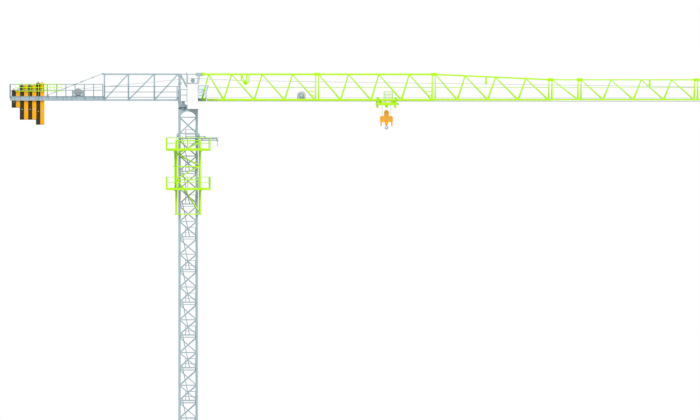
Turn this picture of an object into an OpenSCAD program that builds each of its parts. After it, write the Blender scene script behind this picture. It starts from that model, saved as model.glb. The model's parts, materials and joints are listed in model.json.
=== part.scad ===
// Flat-top tower crane with a climbing cage, as a scale model at 1:2, in millimetres.
// X runs along the jib, Z is up, and the origin is on the mast axis at ground level.

/* [Base frame] */
// Distance between neighbouring foot centres
foot_spacing = 1900; // [1700:20:2400]
// Side of each square foot plate
foot_w = 320; // [280:10:400]
// Thickness of each foot plate
foot_t = 24; // [16:2:40]
// Distance between the anchor holes of a foot
anchor_pitch = 230; // [210:5:250]
// Radius of each anchor hole
anchor_r = 14; // [8:1:18]
// Height of the ground beams
ground_beam_h = 240; // [180:10:320]
// Flange width of the ground beams
ground_beam_w = 140; // [100:5:150]
// Flange thickness of the ground beams
ground_flange_t = 16; // [10:1:24]
// Web thickness of the ground beams
ground_web_t = 12; // [8:1:20]
// Thickness of the seat plate under each mast leg
leg_seat_t = 20; // [12:1:30]
// Overhang of the seat plate round the mast leg
leg_seat_rim = 22; // [10:1:40]

/* [Mast] */
// Number of mast sections
mast_sections = 9; // [3:1:9]
// Height of one mast section
mast_pitch = 1400; // [1300:10:1500]
// Width of the mast over its legs
mast_w = 810; // [760:5:860]
// Side of each square leg
mast_leg = 75; // [60:1:90]
// Thickness of the lattice bars of the mast
mast_brace_t = 36; // [24:1:44]
// Height of the horizontal bar at the foot of a section
mast_foot_bar = 46; // [30:1:60]
// Height of the thin horizontal bar at the head of a section
mast_head_bar = 30; // [20:1:40]
// Height of the bar at the middle of a section
mast_mid_bar = 36; // [24:1:48]
// Width of the crossed diagonals of the mast
mast_diag = 34; // [20:1:44]

/* [Ladders and rest platforms] */
// Thickness of a rest platform
rest_t = 8; // [5:1:12]
// Height of the rest platform above the foot of its section
rest_z = 50; // [44:1:60]
// Length of the climbing hatch beside the platform
hatch_l = 230; // [180:5:260]
// Height of the lower rest platform rail
rest_rail_low = 170; // [120:5:220]
// Height of the upper rest platform rail
rest_rail_high = 390; // [340:5:450]
// Thickness of the rest platform rails
rest_rail_t = 12; // [8:1:18]
// Width of the ladders over their stringers
ladder_w = 200; // [160:5:240]
// Depth of the ladder stringers
ladder_stringer = 24; // [16:1:32]
// Thickness of the ladder stringers
ladder_stringer_t = 9; // [6:1:14]
// Distance between ladder rungs
rung_pitch = 140; // [120:5:170]
// Thickness of the ladder rungs
rung_t = 12; // [8:1:16]
// Place of the foot of each ladder along X
ladder_foot_x = 60; // [20:5:120]
// How far each ladder leans back on its way up
ladder_lean = 300; // [240:5:320]

/* [Slewing support] */
// Height of the fixed slewing support
support_h = 1292; // [1200:4:1400]
// Height of its arched head box
support_head_h = 270; // [220:5:320]
// Wall thickness of the head box
support_wall = 16; // [10:1:24]
// Rise of the arches in the head box
arch_rise = 190; // [140:5:210]
// Thickness of the top plate
support_top_t = 28; // [20:1:40]
// Radius of the man hole through the top plate
man_hole_r = 260; // [220:5:280]
// Height of the lower horizontal bar above the mast
support_bar_low = 269; // [230:5:320]
// Height of the upper horizontal bar above the mast
support_bar_high = 958; // [900:5:980]
// Reach of the side ears that the climbing cage hangs from
ear_reach = 80; // [60:2:90]
// Height of each ear
ear_h = 190; // [140:5:220]
// Height of the ear foot above the mast
ear_z = 95; // [80:5:120]
// Thickness of each ear
ear_t = 40; // [24:2:60]

/* [Slewing ring and drive] */
// Number of teeth round the slewing ring
ring_teeth = 84; // [72:1:96]
// Number of teeth on the slewing pinion
pinion_teeth = 13; // [11:1:16]
// Tooth size, as pitch diameter over number of teeth
tooth_module = 10; // [9:0.5:10]
// Height of the slewing ring
ring_h = 84; // [70:2:100]
// Inner radius of the toothed ring
ring_bore_r = 345; // [330:1:350]
// Height of the gap between the toothed ring and the turning frame
ring_gap = 2; // [1:0.5:3]
// Backlash between the slewing pinion and the ring
backlash = 0.8; // [0.5:0.1:1.5]
// Bearing angle of the slewing pinion, seen from above
pinion_angle = 241; // [238:1:244]

/* [Feed beams] */
// Reach of the feed beams from the mast axis
feed_reach = 1300; // [1200:10:1320]
// Height of the feed beams
feed_beam_h = 60; // [50:2:70]
// Width of the feed beams
feed_beam_w = 44; // [36:2:50]
// Height of the feed beams above the mast top
feed_z = 28; // [26:1:40]
// Side of the monorail under the feed beams
feed_rail = 36; // [28:2:42]
// Start of the monorail along X
feed_rail_x = 430; // [410:10:600]
// Length of the hook that hangs from the monorail
feed_hook_l = 230; // [180:5:260]

/* [Climbing cage] */
// Distance between the cage posts
cage_span = 1005; // [985:5:1040]
// Side of each cage post
cage_post = 60; // [50:1:66]
// Height of the cage posts
cage_h = 3211; // [3150:1:3250]
// Gap between the mast top and the head of the cage below it
cage_top_drop = 9; // [9:1:40]
// Thickness of the foot plates under the posts
cage_foot_t = 35; // [20:1:50]
// Overhang of the foot plates round the posts
cage_foot_rim = 34; // [16:1:50]
// Thickness of the cage lattice bars
cage_brace_t = 24; // [18:1:28]
// Width of the cage lattice bars
cage_bar = 44; // [30:1:56]
// Distance from the head of the cage down to the upper deck's walking face
deck_drop = 406; // [380:1:440]
// Distance between the two deck levels
deck_step = 1681; // [1640:1:1720]
// Depth of a deck's edge frame
deck_t = 62; // [40:1:70]
// Plate thickness of a deck
deck_plate = 8; // [5:1:12]
// Width of a deck over all
deck_w = 1860; // [1800:10:1880]
// Height of the deck railings
rail_h = 509; // [480:1:540]
// Thickness of the deck rails
rail_t = 22; // [16:1:28]
// Width of the gap in the upper railing for a new mast section
feed_gap = 1060; // [1040:10:1100]
// Radius of the guide rollers
roller_r = 32; // [26:1:36]
// Length of the guide rollers
roller_l = 50; // [36:1:64]
// Running gap between the guide rollers and the mast legs
roller_gap = 0.8; // [0.5:0.1:2]
// Radius of the jacking cylinder
jack_r = 38; // [30:1:40]
// Length of the jacking cylinder
jack_l = 1300; // [1200:10:1400]
// Radius of the jacking rod
jack_rod_r = 22; // [16:1:28]
// Length of the rod that shows
jack_rod_l = 120; // [80:5:200]
// Height of the beam that the cylinder hangs from
jack_beam_h = 110; // [90:2:130]

/* [Turning tower head] */
// Height from the toothed ring to the middle of the lower chords
chord_z = 328; // [320:1:340]
// Height from the middle of the lower chords to the middle of the upper chord
head_rise = 1091; // [1060:1:1120]
// Radius of the flange on the slewing ring
turret_flange_r = 400; // [390:1:405]
// Height of the turning frame's floor box
turret_box_h = 120; // [90:2:140]
// Side of the tower head posts
head_post = 70; // [60:1:80]
// Side of the lower parts of the posts
head_post_low = 86; // [74:1:90]
// Width of the main diagonals
head_diag = 54; // [40:1:60]
// Side of the thin members of the head
head_bar = 34; // [24:1:44]
// Distance of the jib's upper pin from the mast axis
top_pin_x = 560; // [552:1:570]
// Radius of the pins of the jib
jib_pin_r = 16; // [12:1:20]

/* [Counter jib] */
// Distance of the bay posts behind the mast axis, first bay
bay_1_x = 1446; // [1400:2:1500]
// Distance of the second row of bay posts
bay_2_x = 2553; // [2500:2:2600]
// Distance of the last row of bay posts
bay_3_x = 3580; // [3520:2:3640]
// Side of the counter jib's chords
cj_chord = 60; // [50:1:66]
// Thickness of the counter jib's posts and diagonals
cj_bar = 42; // [30:1:50]
// Distance of the rear end of the deck behind the mast axis
deck_rear_x = 7610; // [7560:2:7700]
// Depth of the rear deck's side beams
deck_beam_h = 188; // [160:2:200]
// Width of the rear deck's side beams
deck_beam_w = 66; // [50:1:70]
// Flange and web thickness of the side beams
deck_beam_t = 9; // [6:1:12]
// Thickness of the deck's floor plate
floor_t = 8; // [6:1:12]
// Height of the counter jib's railings above its floor
cj_rail_h = 510; // [480:2:540]
// Side of the railing tubes
cj_rail_t = 18; // [14:1:24]
// Width of the walkway outside the side beams
walk_w = 90; // [70:2:120]

/* [Tie bars] */
// Distance of the lower tie lug behind the mast axis
tie_low_x = 6013; // [5960:1:6040]
// Side of the tie bars
tie_t = 24; // [18:1:32]
// Number of joints along each tie bar
tie_joints = 5; // [3:1:7]

/* [Counterweights] */
// Thickness of one counterweight slab
slab_t = 171; // [150:1:172]
// Gap between slabs
slab_gap = 2; // [1:0.5:4]
// Number of small rear slabs
slabs_small = 2; // [1:1:2]
// Number of medium slabs
slabs_medium = 4; // [1:1:4]
// Number of tall slabs
slabs_tall = 2; // [1:1:2]
// Distance of the last slab's rear face behind the mast axis
slab_rear_x = 7536; // [7530:1:7550]
// Height of the small slabs below the deck beams' top
slab_small_drop = 488; // [440:4:540]
// Height of the medium slabs below the deck beams' top
slab_medium_drop = 1001; // [940:1:1060]
// Height of the tall slabs below the deck beams' top
slab_tall_drop = 1215; // [1160:5:1260]
// Height of the small slabs above the deck beams
slab_small_rise = 265; // [230:5:300]
// Height of the medium slabs above the deck beams
slab_medium_rise = 466; // [430:4:500]
// Height of the tall slabs above the deck beams
slab_tall_rise = 560; // [540:5:600]

/* [Hoist winch] */
// Distance of the drum behind the mast axis
winch_x = 4713; // [4650:1:4780]
// Height of the drum's axis above the deck beams
winch_z = 174; // [160:1:200]
// Radius of the drum flanges
drum_flange_r = 164; // [150:1:170]
// Radius of the rope on the drum
drum_rope_r = 120; // [100:1:130]
// Radius of the drum's shaft
drum_shaft_r = 24; // [18:1:30]
// Running clearance round the shafts
shaft_clear = 0.06; // [0.03:0.01:0.1]
// Length of the drum between its flanges
drum_l = 300; // [260:5:320]
// Thickness of the drum flanges
drum_flange_t = 14; // [10:1:20]
// Distance between the winch frame's legs
winch_leg_span = 432; // [400:2:460]
// Thickness of the bearing cheeks
cheek_t = 26; // [18:1:36]

/* [Blank sign] */
// Length of the blank sign frame
sign_l = 1980; // [1800:10:2100]
// Height of the blank sign frame
sign_h = 329; // [280:1:360]
// Distance of the sign's rear end behind the mast axis
sign_rear_x = 7391; // [7350:1:7420]
// Side of the sign's frame tubes
sign_bar = 24; // [16:1:32]

/* [Cab] */
// Length of the cab at its roof
cab_l = 937; // [900:1:960]
// Length of the cab at its floor
cab_floor_l = 830; // [800:1:850]
// Height of the cab
cab_h = 1065; // [1030:1:1100]
// Width of the cab
cab_w = 580; // [540:5:620]
// Wall thickness of the cab
cab_wall = 16; // [12:1:24]
// Distance of the cab's back wall behind the mast axis
cab_back_x = 60; // [40:1:80]
// Gap between the mast and the cab
cab_gap = 110; // [90:5:140]
// Height of the cab's roof below the upper chord
cab_roof_drop = 428; // [410:1:450]
// Height of the window sill above the floor
sill_h = 330; // [300:5:360]
// Height of the window bar above the floor
window_bar_h = 720; // [690:5:750]
// Thickness of the glass
glass_t = 6; // [4:1:8]

/* [Jib] */
// Length of a full jib section
jib_l = 5000; // [4900:10:5100]
// Length of the short fourth section
jib_short_l = 1250; // [1200:10:1302]
// Length of the jib's tip section
jib_tip_l = 1290; // [1250:10:1302]
// Start of the jib along X
jib_x = 517; // [517:1:540]
// Pitch of the jib's lattice bays
bay_l = 1302; // [1280:1:1310]
// Place of a section's first lower node
first_low = 1005; // [990:1:1020]
// Place of a section's first upper node
first_high = 36; // [30:1:60]
// Distance between the lower chords
jib_w = 750; // [720:2:760]
// Side of the heavy chords, sections one and two
chord_heavy = 80; // [66:1:84]
// Side of the light chords, sections four and five
chord_light = 50; // [44:1:56]
// Side of the jib's heavy diagonals
diag_heavy = 38; // [26:1:44]
// Side of the jib's light diagonals
diag_light = 30; // [20:1:36]
// Drop of the upper chord along the third section
jib_drop = 227; // [200:1:240]
// Distance of the end frames from a section's end
end_in = 66; // [60:1:80]
// Thickness of the end frames' uprights
end_bar = 42; // [30:1:50]
// Height of the joint lugs on the upper chord
lug_h = 150; // [120:2:170]
// Length of the joint lugs on each side of a joint
lug_l = 150; // [120:5:190]
// Thickness of the joint lugs
lug_t = 44; // [30:1:54]

/* [Trolley] */
// Distance of the trolley from the mast axis
trolley_x = 8486; // [8000:2:9000]
// Distance between the trolley's wheel posts
trolley_span = 762; // [720:2:800]
// Radius of the trolley wheels
wheel_r = 40; // [34:1:44]
// Width of the trolley wheels
wheel_w = 26; // [20:1:28]
// Gap between the trolley's wheels and the jib's side lattices
lattice_gap = 7; // [6:1:12]
// Side of the trolley's posts and beams
trolley_bar = 44; // [34:1:50]
// Gap between the wheel posts and the chord's side
trolley_gap = 12; // [8:1:16]
// Distance from the chord's middle down to the trolley's main beams
trolley_drop = 179; // [170:1:200]
// Radius of the rope sheaves
sheave_r = 85; // [76:1:90]
// Width of the rope sheaves
sheave_w = 30; // [24:1:36]
// Distance between the trolley's sheaves
trolley_sheave_span = 548; // [540:2:560]
// Radius of the hoist rope
rope_r = 6; // [4:1:7]
// Length of the maintenance basket
basket_l = 376; // [340:2:400]
// Width of the maintenance basket
basket_w = 290; // [240:5:320]
// Height of the maintenance basket's railing
basket_h = 390; // [360:2:420]

/* [Hook block] */
// Distance from the trolley's sheaves down to the block's sheaves
block_drop = 680; // [660:2:760]
// Width of the block's lower plates
block_w = 552; // [520:2:570]
// Height of the block's lower plates
block_h = 256; // [230:2:280]
// Width of the block's neck
block_neck_w = 206; // [180:2:230]
// Height of the block's neck
block_neck_h = 257; // [220:2:290]
// Thickness of a block plate
block_plate_t = 14; // [10:1:20]
// Height of the guard legs under the block
guard_h = 171; // [140:1:190]
// Width of the guard legs
guard_w = 60; // [40:2:70]
// Side of the crosshead
crosshead_w = 141; // [120:1:150]
// Height of the crosshead
crosshead_h = 100; // [80:2:120]
// Radius of the hook's shank
shank_r = 20; // [16:1:24]
// Radius of the hook's bow, at the middle of its bar
hook_bow_r = 56; // [48:1:60]
// Radius of the hook's bar
hook_bar_r = 21; // [16:1:24]

/* [Hidden] */
// Gap at which seated pieces lie beside each other
seat = 0.3;

STEEL = "#ACC0C8";
DARK_STEEL = "#8FA4AC";
LIME = "#BFFF00";
YELLOW = "#FFB000";
CONCRETE = "#3E3E3E";
WHITE = "#F4F4F4";
GREY = "#ADADAD";
GLASS = "#DDEEF4";

// Heights that the pieces share
base_h = ground_beam_h + leg_seat_t;
mast_top = base_h + mast_sections * mast_pitch;
support_top = mast_top + support_h;
ring_top = support_top + ring_h;
low_z = ring_top + chord_z;
high_z = low_z + head_rise;
platform_z = low_z - 62;
// Half of the distance between opposite mast legs, on their middles
leg_c = (mast_w - mast_leg) / 2;
// Inner face of the mast's lattice bars
lattice_in = leg_c - mast_brace_t / 2;

// Flat bar from a to b, drawn in a panel's own plane
module strut(a, b, w) {
    d = b - a;
    translate(a) rotate(atan2(d[1], d[0])) translate([0, -w / 2]) square([norm(d), w]);
}

// Square bar from p to q, in space
module beam(p, q, w) {
    d = q - p;
    translate(p) rotate([0, acos(d[2] / norm(d)), atan2(d[1], d[0])])
        translate([-w / 2, -w / 2, 0]) cube([w, w, norm(d)]);
}

// Round bar from p to q, in space
module rod(p, q, r) {
    d = q - p;
    translate(p) rotate([0, acos(d[2] / norm(d)), atan2(d[1], d[0])]) cylinder(r = r, h = norm(d));
}

// Box given by its lowest and highest corners
module block(lo, hi) {
    translate(lo) cube(hi - lo);
}

// Panel in the XZ plane, of thickness t, with its middle on y
module wall_panel(y, t) {
    translate([0, y, 0]) rotate([90, 0, 0]) linear_extrude(t, center = true) children();
}

// I-beam of length l along X, standing on z = 0
module i_beam(l, h, w, flange_t, web_t) {
    rotate([90, 0, 90]) linear_extrude(l, center = true) {
        translate([-w / 2, 0]) square([w, flange_t]);
        translate([-w / 2, h - flange_t]) square([w, flange_t]);
        translate([-web_t / 2, 0]) square([web_t, h]);
    }
}

// What is drawn on the far side, drawn on the near side too
module both_sides() {
    children();
    mirror([0, 1, 0]) children();
}

module base_frame() {
    foot_r = foot_spacing / sqrt(2);
    color(STEEL) {
        difference() {
            union() {
                for (a = [45, 135])
                    rotate(a)
                        i_beam(2 * foot_r + foot_w, ground_beam_h, ground_beam_w,
                               ground_flange_t, ground_web_t);
                for (a = [45:90:315])
                    rotate(a) block([foot_r - foot_w / 2, -foot_w / 2, 0],
                                    [foot_r + foot_w / 2, foot_w / 2, foot_t]);
                for (x = [-1, 1], y = [-1, 1])
                    translate([x * leg_c, y * leg_c, ground_beam_h + leg_seat_t / 2])
                        cube([mast_leg + 2 * leg_seat_rim, mast_leg + 2 * leg_seat_rim, leg_seat_t],
                             center = true);
            }
            for (a = [45:90:315], x = [-1, 1], y = [-1, 1])
                rotate(a) translate([foot_r + x * anchor_pitch / 2, y * anchor_pitch / 2, -1])
                    cylinder(r = anchor_r, h = foot_t + 2);
        }
    }
}

// One side of a mast bay: the crossed diagonals between two heights
module crossed_diagonals(x0, x1, z0, z1, w) {
    strut([x0, z0], [x1, z1], w);
    strut([x0, z1], [x1, z0], w);
}

// Four like sides round the mast, each with one leg
module four_sides(z, h) {
    for (a = [0:90:270])
        rotate(a) translate([0, 0, z]) {
            block([-mast_w / 2, -mast_w / 2, 0], [mast_leg - mast_w / 2, mast_leg - mast_w / 2, h]);
            wall_panel(-leg_c, mast_brace_t) intersection() {
                translate([-leg_c, 0]) square([2 * leg_c - mast_leg / 2 - seat, h]);
                children();
            }
        }
}

module mast_section(i) {
    foot_top = rest_z + mast_foot_bar / 2;
    head_z = mast_pitch - rest_z;
    mid = mast_pitch / 2;
    color(STEEL) four_sides(base_h + (i - 1) * mast_pitch, mast_pitch) union() {
        strut([-leg_c, rest_z], [leg_c, rest_z], mast_foot_bar);
        strut([-leg_c, head_z], [leg_c, head_z], mast_head_bar);
        strut([-leg_c, mid], [leg_c, mid], mast_mid_bar);
        crossed_diagonals(-leg_c, leg_c, foot_top, mid, mast_diag);
        crossed_diagonals(-leg_c, leg_c, mid, head_z, mast_diag);
    }
}

// Place of the rest platform's edge beside the hatch
hatch_x = hatch_l - lattice_in;

module mast_ladders() {
    side = (ladder_w - ladder_stringer_t) / 2;
    from = [ladder_foot_x, rest_z + rest_t / 2 + seat];
    lean = [-ladder_lean, mast_pitch];
    color(STEEL) for (i = [0:mast_sections - 1]) translate([0, 0, base_h + i * mast_pitch]) {
        for (y = [-1, 1]) wall_panel(y * side, ladder_stringer_t) intersection() {
            strut(from - 0.1 * lean, from + 1.06 * lean, ladder_stringer);
            translate([-lattice_in, from[1]]) square([2 * lattice_in, mast_pitch + 90]);
        }
        for (k = [1:floor(mast_pitch / rung_pitch)])
            translate([from[0] + lean[0] * k * rung_pitch / mast_pitch, 0,
                       from[1] + k * rung_pitch - rung_t])
                cube([rung_t, ladder_w - ladder_stringer_t, rung_t], center = true);
        for (y = [-1, 1])
            block([from[0] + lean[0], y * side - ladder_stringer_t / 2, mast_pitch + rest_z - rest_t],
                  [hatch_x - seat, y * side + ladder_stringer_t / 2, mast_pitch + rest_z + rest_t]);
    }
}

module mast_platforms() {
    edge_y = lattice_in - seat;
    edge_x = mast_w / 2 - mast_leg - seat;
    post_y = edge_y - 2 * rest_rail_t;
    color(DARK_STEEL) for (i = [0:mast_sections]) translate([0, 0, base_h + i * mast_pitch + rest_z]) {
        block([hatch_x, -edge_y, -rest_t / 2], [edge_x, edge_y, rest_t / 2]);
        for (y = [-post_y, post_y]) {
            for (x = [hatch_x + rest_rail_t, edge_x - rest_rail_t])
                beam([x, y, 0], [x, y, rest_rail_high], rest_rail_t);
            for (z = [rest_rail_low, rest_rail_high])
                beam([hatch_x + rest_rail_t / 2, y, z], [edge_x - rest_rail_t / 2, y, z], rest_rail_t);
        }
    }
}

module slewing_support() {
    leg_h = support_h - support_head_h;
    arch_half = mast_w / 2 - mast_leg;
    arch_r = (arch_half * arch_half + arch_rise * arch_rise) / (2 * arch_rise);
    color(STEEL) {
        four_sides(mast_top, leg_h - seat) union() {
            strut([-leg_c, rest_z], [leg_c, rest_z], mast_foot_bar);
            strut([-leg_c, support_bar_low], [leg_c, support_bar_low], mast_mid_bar);
            strut([-leg_c, support_bar_high], [leg_c, support_bar_high], mast_mid_bar);
            crossed_diagonals(-leg_c, leg_c, support_bar_low, support_bar_high, mast_diag);
        }
        translate([0, 0, mast_top + leg_h]) difference() {
            translate([-mast_w / 2, -mast_w / 2, 0]) cube([mast_w, mast_w, support_head_h]);
            translate([support_wall - mast_w / 2, support_wall - mast_w / 2, -1])
                cube([mast_w - 2 * support_wall, mast_w - 2 * support_wall,
                      support_head_h - support_top_t + 1]);
            cylinder(r = man_hole_r, h = support_head_h + 1);
            for (a = [0, 90])
                rotate([90, 0, a]) translate([0, arch_rise - arch_r, 0])
                    cylinder(r = arch_r, h = mast_w + 2, center = true);
        }
        for (x = [-1, 1], y = [-1, 1])
            translate([x * (mast_w / 2 + seat), y * leg_c, mast_top + ear_z])
                wall_panel(0, ear_t) polygon([[0, 0], [x * ear_reach, 0], [x * ear_reach, ear_h * 0.55],
                                              [x * ear_reach * 0.4, ear_h], [0, ear_h]]);
    }
}

// Outline of a gear with straight-sided teeth
module gear_outline(teeth, shrink) {
    pitch_r = tooth_module * teeth / 2;
    polygon([for (k = [0:teeth - 1], s = [[-1.1, -0.27], [0.9, -0.14], [0.9, 0.14], [-1.1, 0.27]])
        let (r = pitch_r + s[0] * tooth_module - max(s[0], 0) * shrink,
             a = (k + s[1] * (1 - shrink * 0.06)) * 360 / teeth)
        [r * cos(a), r * sin(a)]]);
}

module slewing_ring() {
    color(DARK_STEEL) translate([0, 0, support_top]) difference() {
        linear_extrude(ring_h) gear_outline(ring_teeth, 0);
        translate([0, 0, -1]) cylinder(r = ring_bore_r, h = ring_h + 2);
    }
}

module feed_beams() {
    side = mast_w / 2 + seat + feed_beam_w / 2;
    z0 = mast_top + feed_z;
    start = -mast_w / 2;
    rail_z = z0 - feed_rail - 34;
    tie_r = 9;
    cross = [mast_w / 2 + 180, feed_reach - 90];
    color(STEEL) {
        for (y = [-side, side]) wall_panel(y, feed_beam_w)
            polygon([[start, z0], [feed_reach - 160, z0], [feed_reach, z0 + feed_beam_h * 0.7],
                     [feed_reach, z0 + feed_beam_h], [start, z0 + feed_beam_h]]);
        for (x = cross)
            block([x - feed_beam_w / 2, -side, z0 + feed_beam_h * 0.3],
                  [x + feed_beam_w / 2, side, z0 + feed_beam_h]);
        for (x = cross)
            block([x - feed_rail / 2, -feed_rail / 2, rail_z],
                  [x + feed_rail / 2, feed_rail / 2, z0 + feed_beam_h * 0.3]);
        block([feed_rail_x, -feed_rail / 2, rail_z], [feed_reach - 30, feed_rail / 2, rail_z + feed_rail]);
        for (y = [-side, side]) {
            for (x = [-90, 710])
                rod([x, y, z0 + feed_beam_h - 1], [x, y, z0 + feed_beam_h + 60], 2 * tie_r);
            rod([-90, y, z0 + feed_beam_h + 48], [710, y, z0 + feed_beam_h + 48], tie_r);
        }
        translate([feed_reach - 51, 0, rail_z - feed_hook_l + 32]) rotate([90, 0, 0])
            difference() {
                cylinder(r = 32, h = 16, center = true);
                cylinder(r = 17, h = 18, center = true);
                translate([-34, 4, -9]) cube([22, 18, 18]);
            }
        rod([feed_reach - 51, 0, rail_z - feed_hook_l + 58], [feed_reach - 51, 0, rail_z + 1], 9);
    }
}

// Heights of the climbing cage
cage_top = mast_top - cage_top_drop;
cage_bottom = cage_top - cage_h;
cage_c = cage_span / 2;
cage_out = cage_c + cage_post / 2;
deck_zs = [cage_top - deck_drop, cage_top - deck_drop - deck_step];

module cage_frame() {
    low = cage_bottom + cage_foot_t;
    levels = [cage_top - 34, cage_top - 1142, cage_top - 1706, cage_top - 3177];
    nodes = [[cage_c, cage_top - 92], [-cage_c, cage_top - 601], [cage_c, levels[1] + 40],
             [-cage_c, levels[2] + 50], [cage_c, levels[3] + 60]];
    side_half = cage_c - cage_post / 2 - seat;
    color(LIME) {
        for (s = [-1, 1]) {
            wall_panel(s * cage_c, cage_brace_t) union() {
                for (z = levels) strut([-cage_c, z], [cage_c, z], cage_bar);
                for (k = [0:3]) strut(nodes[k], nodes[k + 1], cage_bar);
            }
            for (x = [-cage_c, cage_c]) {
                translate([x - cage_post / 2, s * cage_c - cage_post / 2, low])
                    cube([cage_post, cage_post, cage_top - low]);
                translate([x, s * cage_c, cage_bottom + cage_foot_t / 2])
                    cube([cage_post + 2 * cage_foot_rim, cage_post + 2 * cage_foot_rim, cage_foot_t],
                         center = true);
            }
        }
        // rear side, with the beam that the jacking cylinder hangs from
        rotate(90) wall_panel(cage_c, cage_brace_t) for (z = levels)
            strut([-side_half, z], [side_half, z], cage_bar);
        block([-cage_c - cage_post * 1.7, -side_half, deck_zs[0] - deck_t - seat - jack_beam_h],
              [-cage_c + cage_post / 2, side_half, deck_zs[0] - deck_t - seat]);
        // front side, open above for a new mast section
        rotate(90) wall_panel(-cage_c, cage_brace_t) union() {
            for (k = [2, 3]) strut([-side_half, levels[k]], [side_half, levels[k]], cage_bar);
            intersection() {
                crossed_diagonals(-cage_c, cage_c, levels[3], levels[2], cage_bar);
                translate([-side_half, levels[3]]) square([2 * side_half, levels[2] - levels[3]]);
            }
        }
    }
}

// Four strips round the cage, each a shallow tray with its walking face up
module deck_ring(z) {
    out = deck_w / 2;
    in = cage_out + seat;
    for (s = [-1, 1]) {
        translate([s * (out + in) / 2, 0, z]) deck_strip(out - in, deck_w);
        translate([0, s * (out + in) / 2, z]) deck_strip(2 * in - 2 * seat, out - in);
    }
}

module deck_strip(l, w) {
    difference() {
        translate([-l / 2, -w / 2, -deck_t]) cube([l, w, deck_t]);
        translate([-l / 2 + deck_plate, -w / 2 + deck_plate, -deck_t - 1])
            cube([l - 2 * deck_plate, w - 2 * deck_plate, deck_t - deck_plate + 1]);
    }
}

module cage_decks() {
    color(LIME) for (z = deck_zs) deck_ring(z);
}

// One straight railing of length l along X, with posts no farther apart than step
module railing(l, h, t, step) {
    bays = ceil(l / step);
    for (k = [0:bays]) translate([-l / 2 + t / 2 + k * (l - t) / bays, 0, 0])
        translate([-t / 2, -t / 2, 0]) cube([t, t, h]);
    for (z = [h - t / 2, h * 0.52]) translate([-l / 2, -t / 2, z - t / 2]) cube([l, t, t]);
}

module cage_railings() {
    edge = deck_w / 2 - rail_t / 2;
    half = (deck_w - 2 * rail_t) / 2 - seat;
    part_l = half - feed_gap / 2;
    color(LIME) for (z = deck_zs) translate([0, 0, z + seat]) {
        for (s = [-1, 1]) translate([0, s * edge, 0]) railing(deck_w, rail_h, rail_t, 480);
        translate([-edge, 0, 0]) rotate(90) railing(2 * half, rail_h, rail_t, 480);
    }
    color(LIME) translate([edge, 0, deck_zs[1] + seat]) rotate(90) railing(2 * half, rail_h, rail_t, 480);
    color(LIME) for (s = [-1, 1])
        translate([edge, s * (half - part_l / 2), deck_zs[0] + seat]) rotate(90)
            railing(part_l, rail_h, rail_t, 480);
}

module cage_rollers() {
    centre = mast_w / 2 + roller_gap + roller_r;
    back = cage_c - cage_brace_t / 2 - seat;
    color(DARK_STEEL) for (a = [0:90:270], s = [-1, 1], z = [cage_top - 34, cage_top - 3177])
        if (!(a == 90 && z == cage_top - 34))
            rotate(a) translate([s * (leg_c - 16), 0, z]) {
                translate([0, -centre, 0]) rotate([0, 90, 0])
                    cylinder(r = roller_r, h = roller_l, center = true);
                for (k = [-1, 1])
                    translate([k * (roller_l / 2 + 4), 0, 0])
                        block([-5, -back, -18], [5, -centre + 14, 18]);
                block([-roller_l / 2 - 9, -back, -18], [roller_l / 2 + 9, -back + 8, 18]);
            }
}

jack_x = -cage_c - cage_brace_t / 2 - 4 - jack_r;
jack_top = deck_zs[0] - deck_t - jack_beam_h - 2 * seat;

module jacking_cylinder() {
    color(LIME) {
        translate([jack_x, 0, jack_top - jack_l]) cylinder(r = jack_r, h = jack_l);
        translate([jack_x - jack_r, -jack_r * 1.3, jack_top - 60]) cube([2 * jack_r, jack_r * 2.6, 60]);
        block([jack_x - jack_r - 60, -16, jack_top - 570], [jack_x, 16, jack_top - 530]);
    }
}

module jacking_yoke() {
    z = jack_top - jack_l - seat;
    yoke_z = z - jack_rod_l;
    claw_y = leg_c - 40;
    color(DARK_STEEL) {
        translate([jack_x, 0, yoke_z]) cylinder(r = jack_rod_r, h = jack_rod_l);
        block([jack_x - 34, -claw_y - 30, yoke_z - 80], [jack_x + 34, claw_y + 30, yoke_z + 10]);
        for (s = [-1, 1])
            wall_panel(s * claw_y, 36) polygon([[jack_x, yoke_z - 80], [-mast_w / 2 - 8, yoke_z - 50],
                [-mast_w / 2 - 8, yoke_z - 10], [-mast_w / 2 - 40, yoke_z + 10], [jack_x, yoke_z + 10]]);
    }
}

// The turning frame on the slewing ring
frame_z = ring_top + ring_gap;
box_top = frame_z + turret_box_h;
pinion_mesh_r = tooth_module * (ring_teeth + pinion_teeth) / 2;
pinion_spot = [pinion_mesh_r * cos(pinion_angle), pinion_mesh_r * sin(pinion_angle)];
pinion_shaft_r = 30;
pinion_boss_r = 100;
post_low_out = leg_c + head_post_low / 2;
bracket_top = frame_z + 46;
// Turn of the pinion that puts a tooth gap where the ring has a tooth
ring_phase = pinion_angle * ring_teeth / 360;
pinion_phase = pinion_angle + 180 + (0.5 + (ring_phase - floor(ring_phase))) * 360 / pinion_teeth;
// Height of the slewing motor, which ends under the walkway beside it
slewing_motor_h = platform_z - 8 - 6 - bracket_top - seat;

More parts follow.
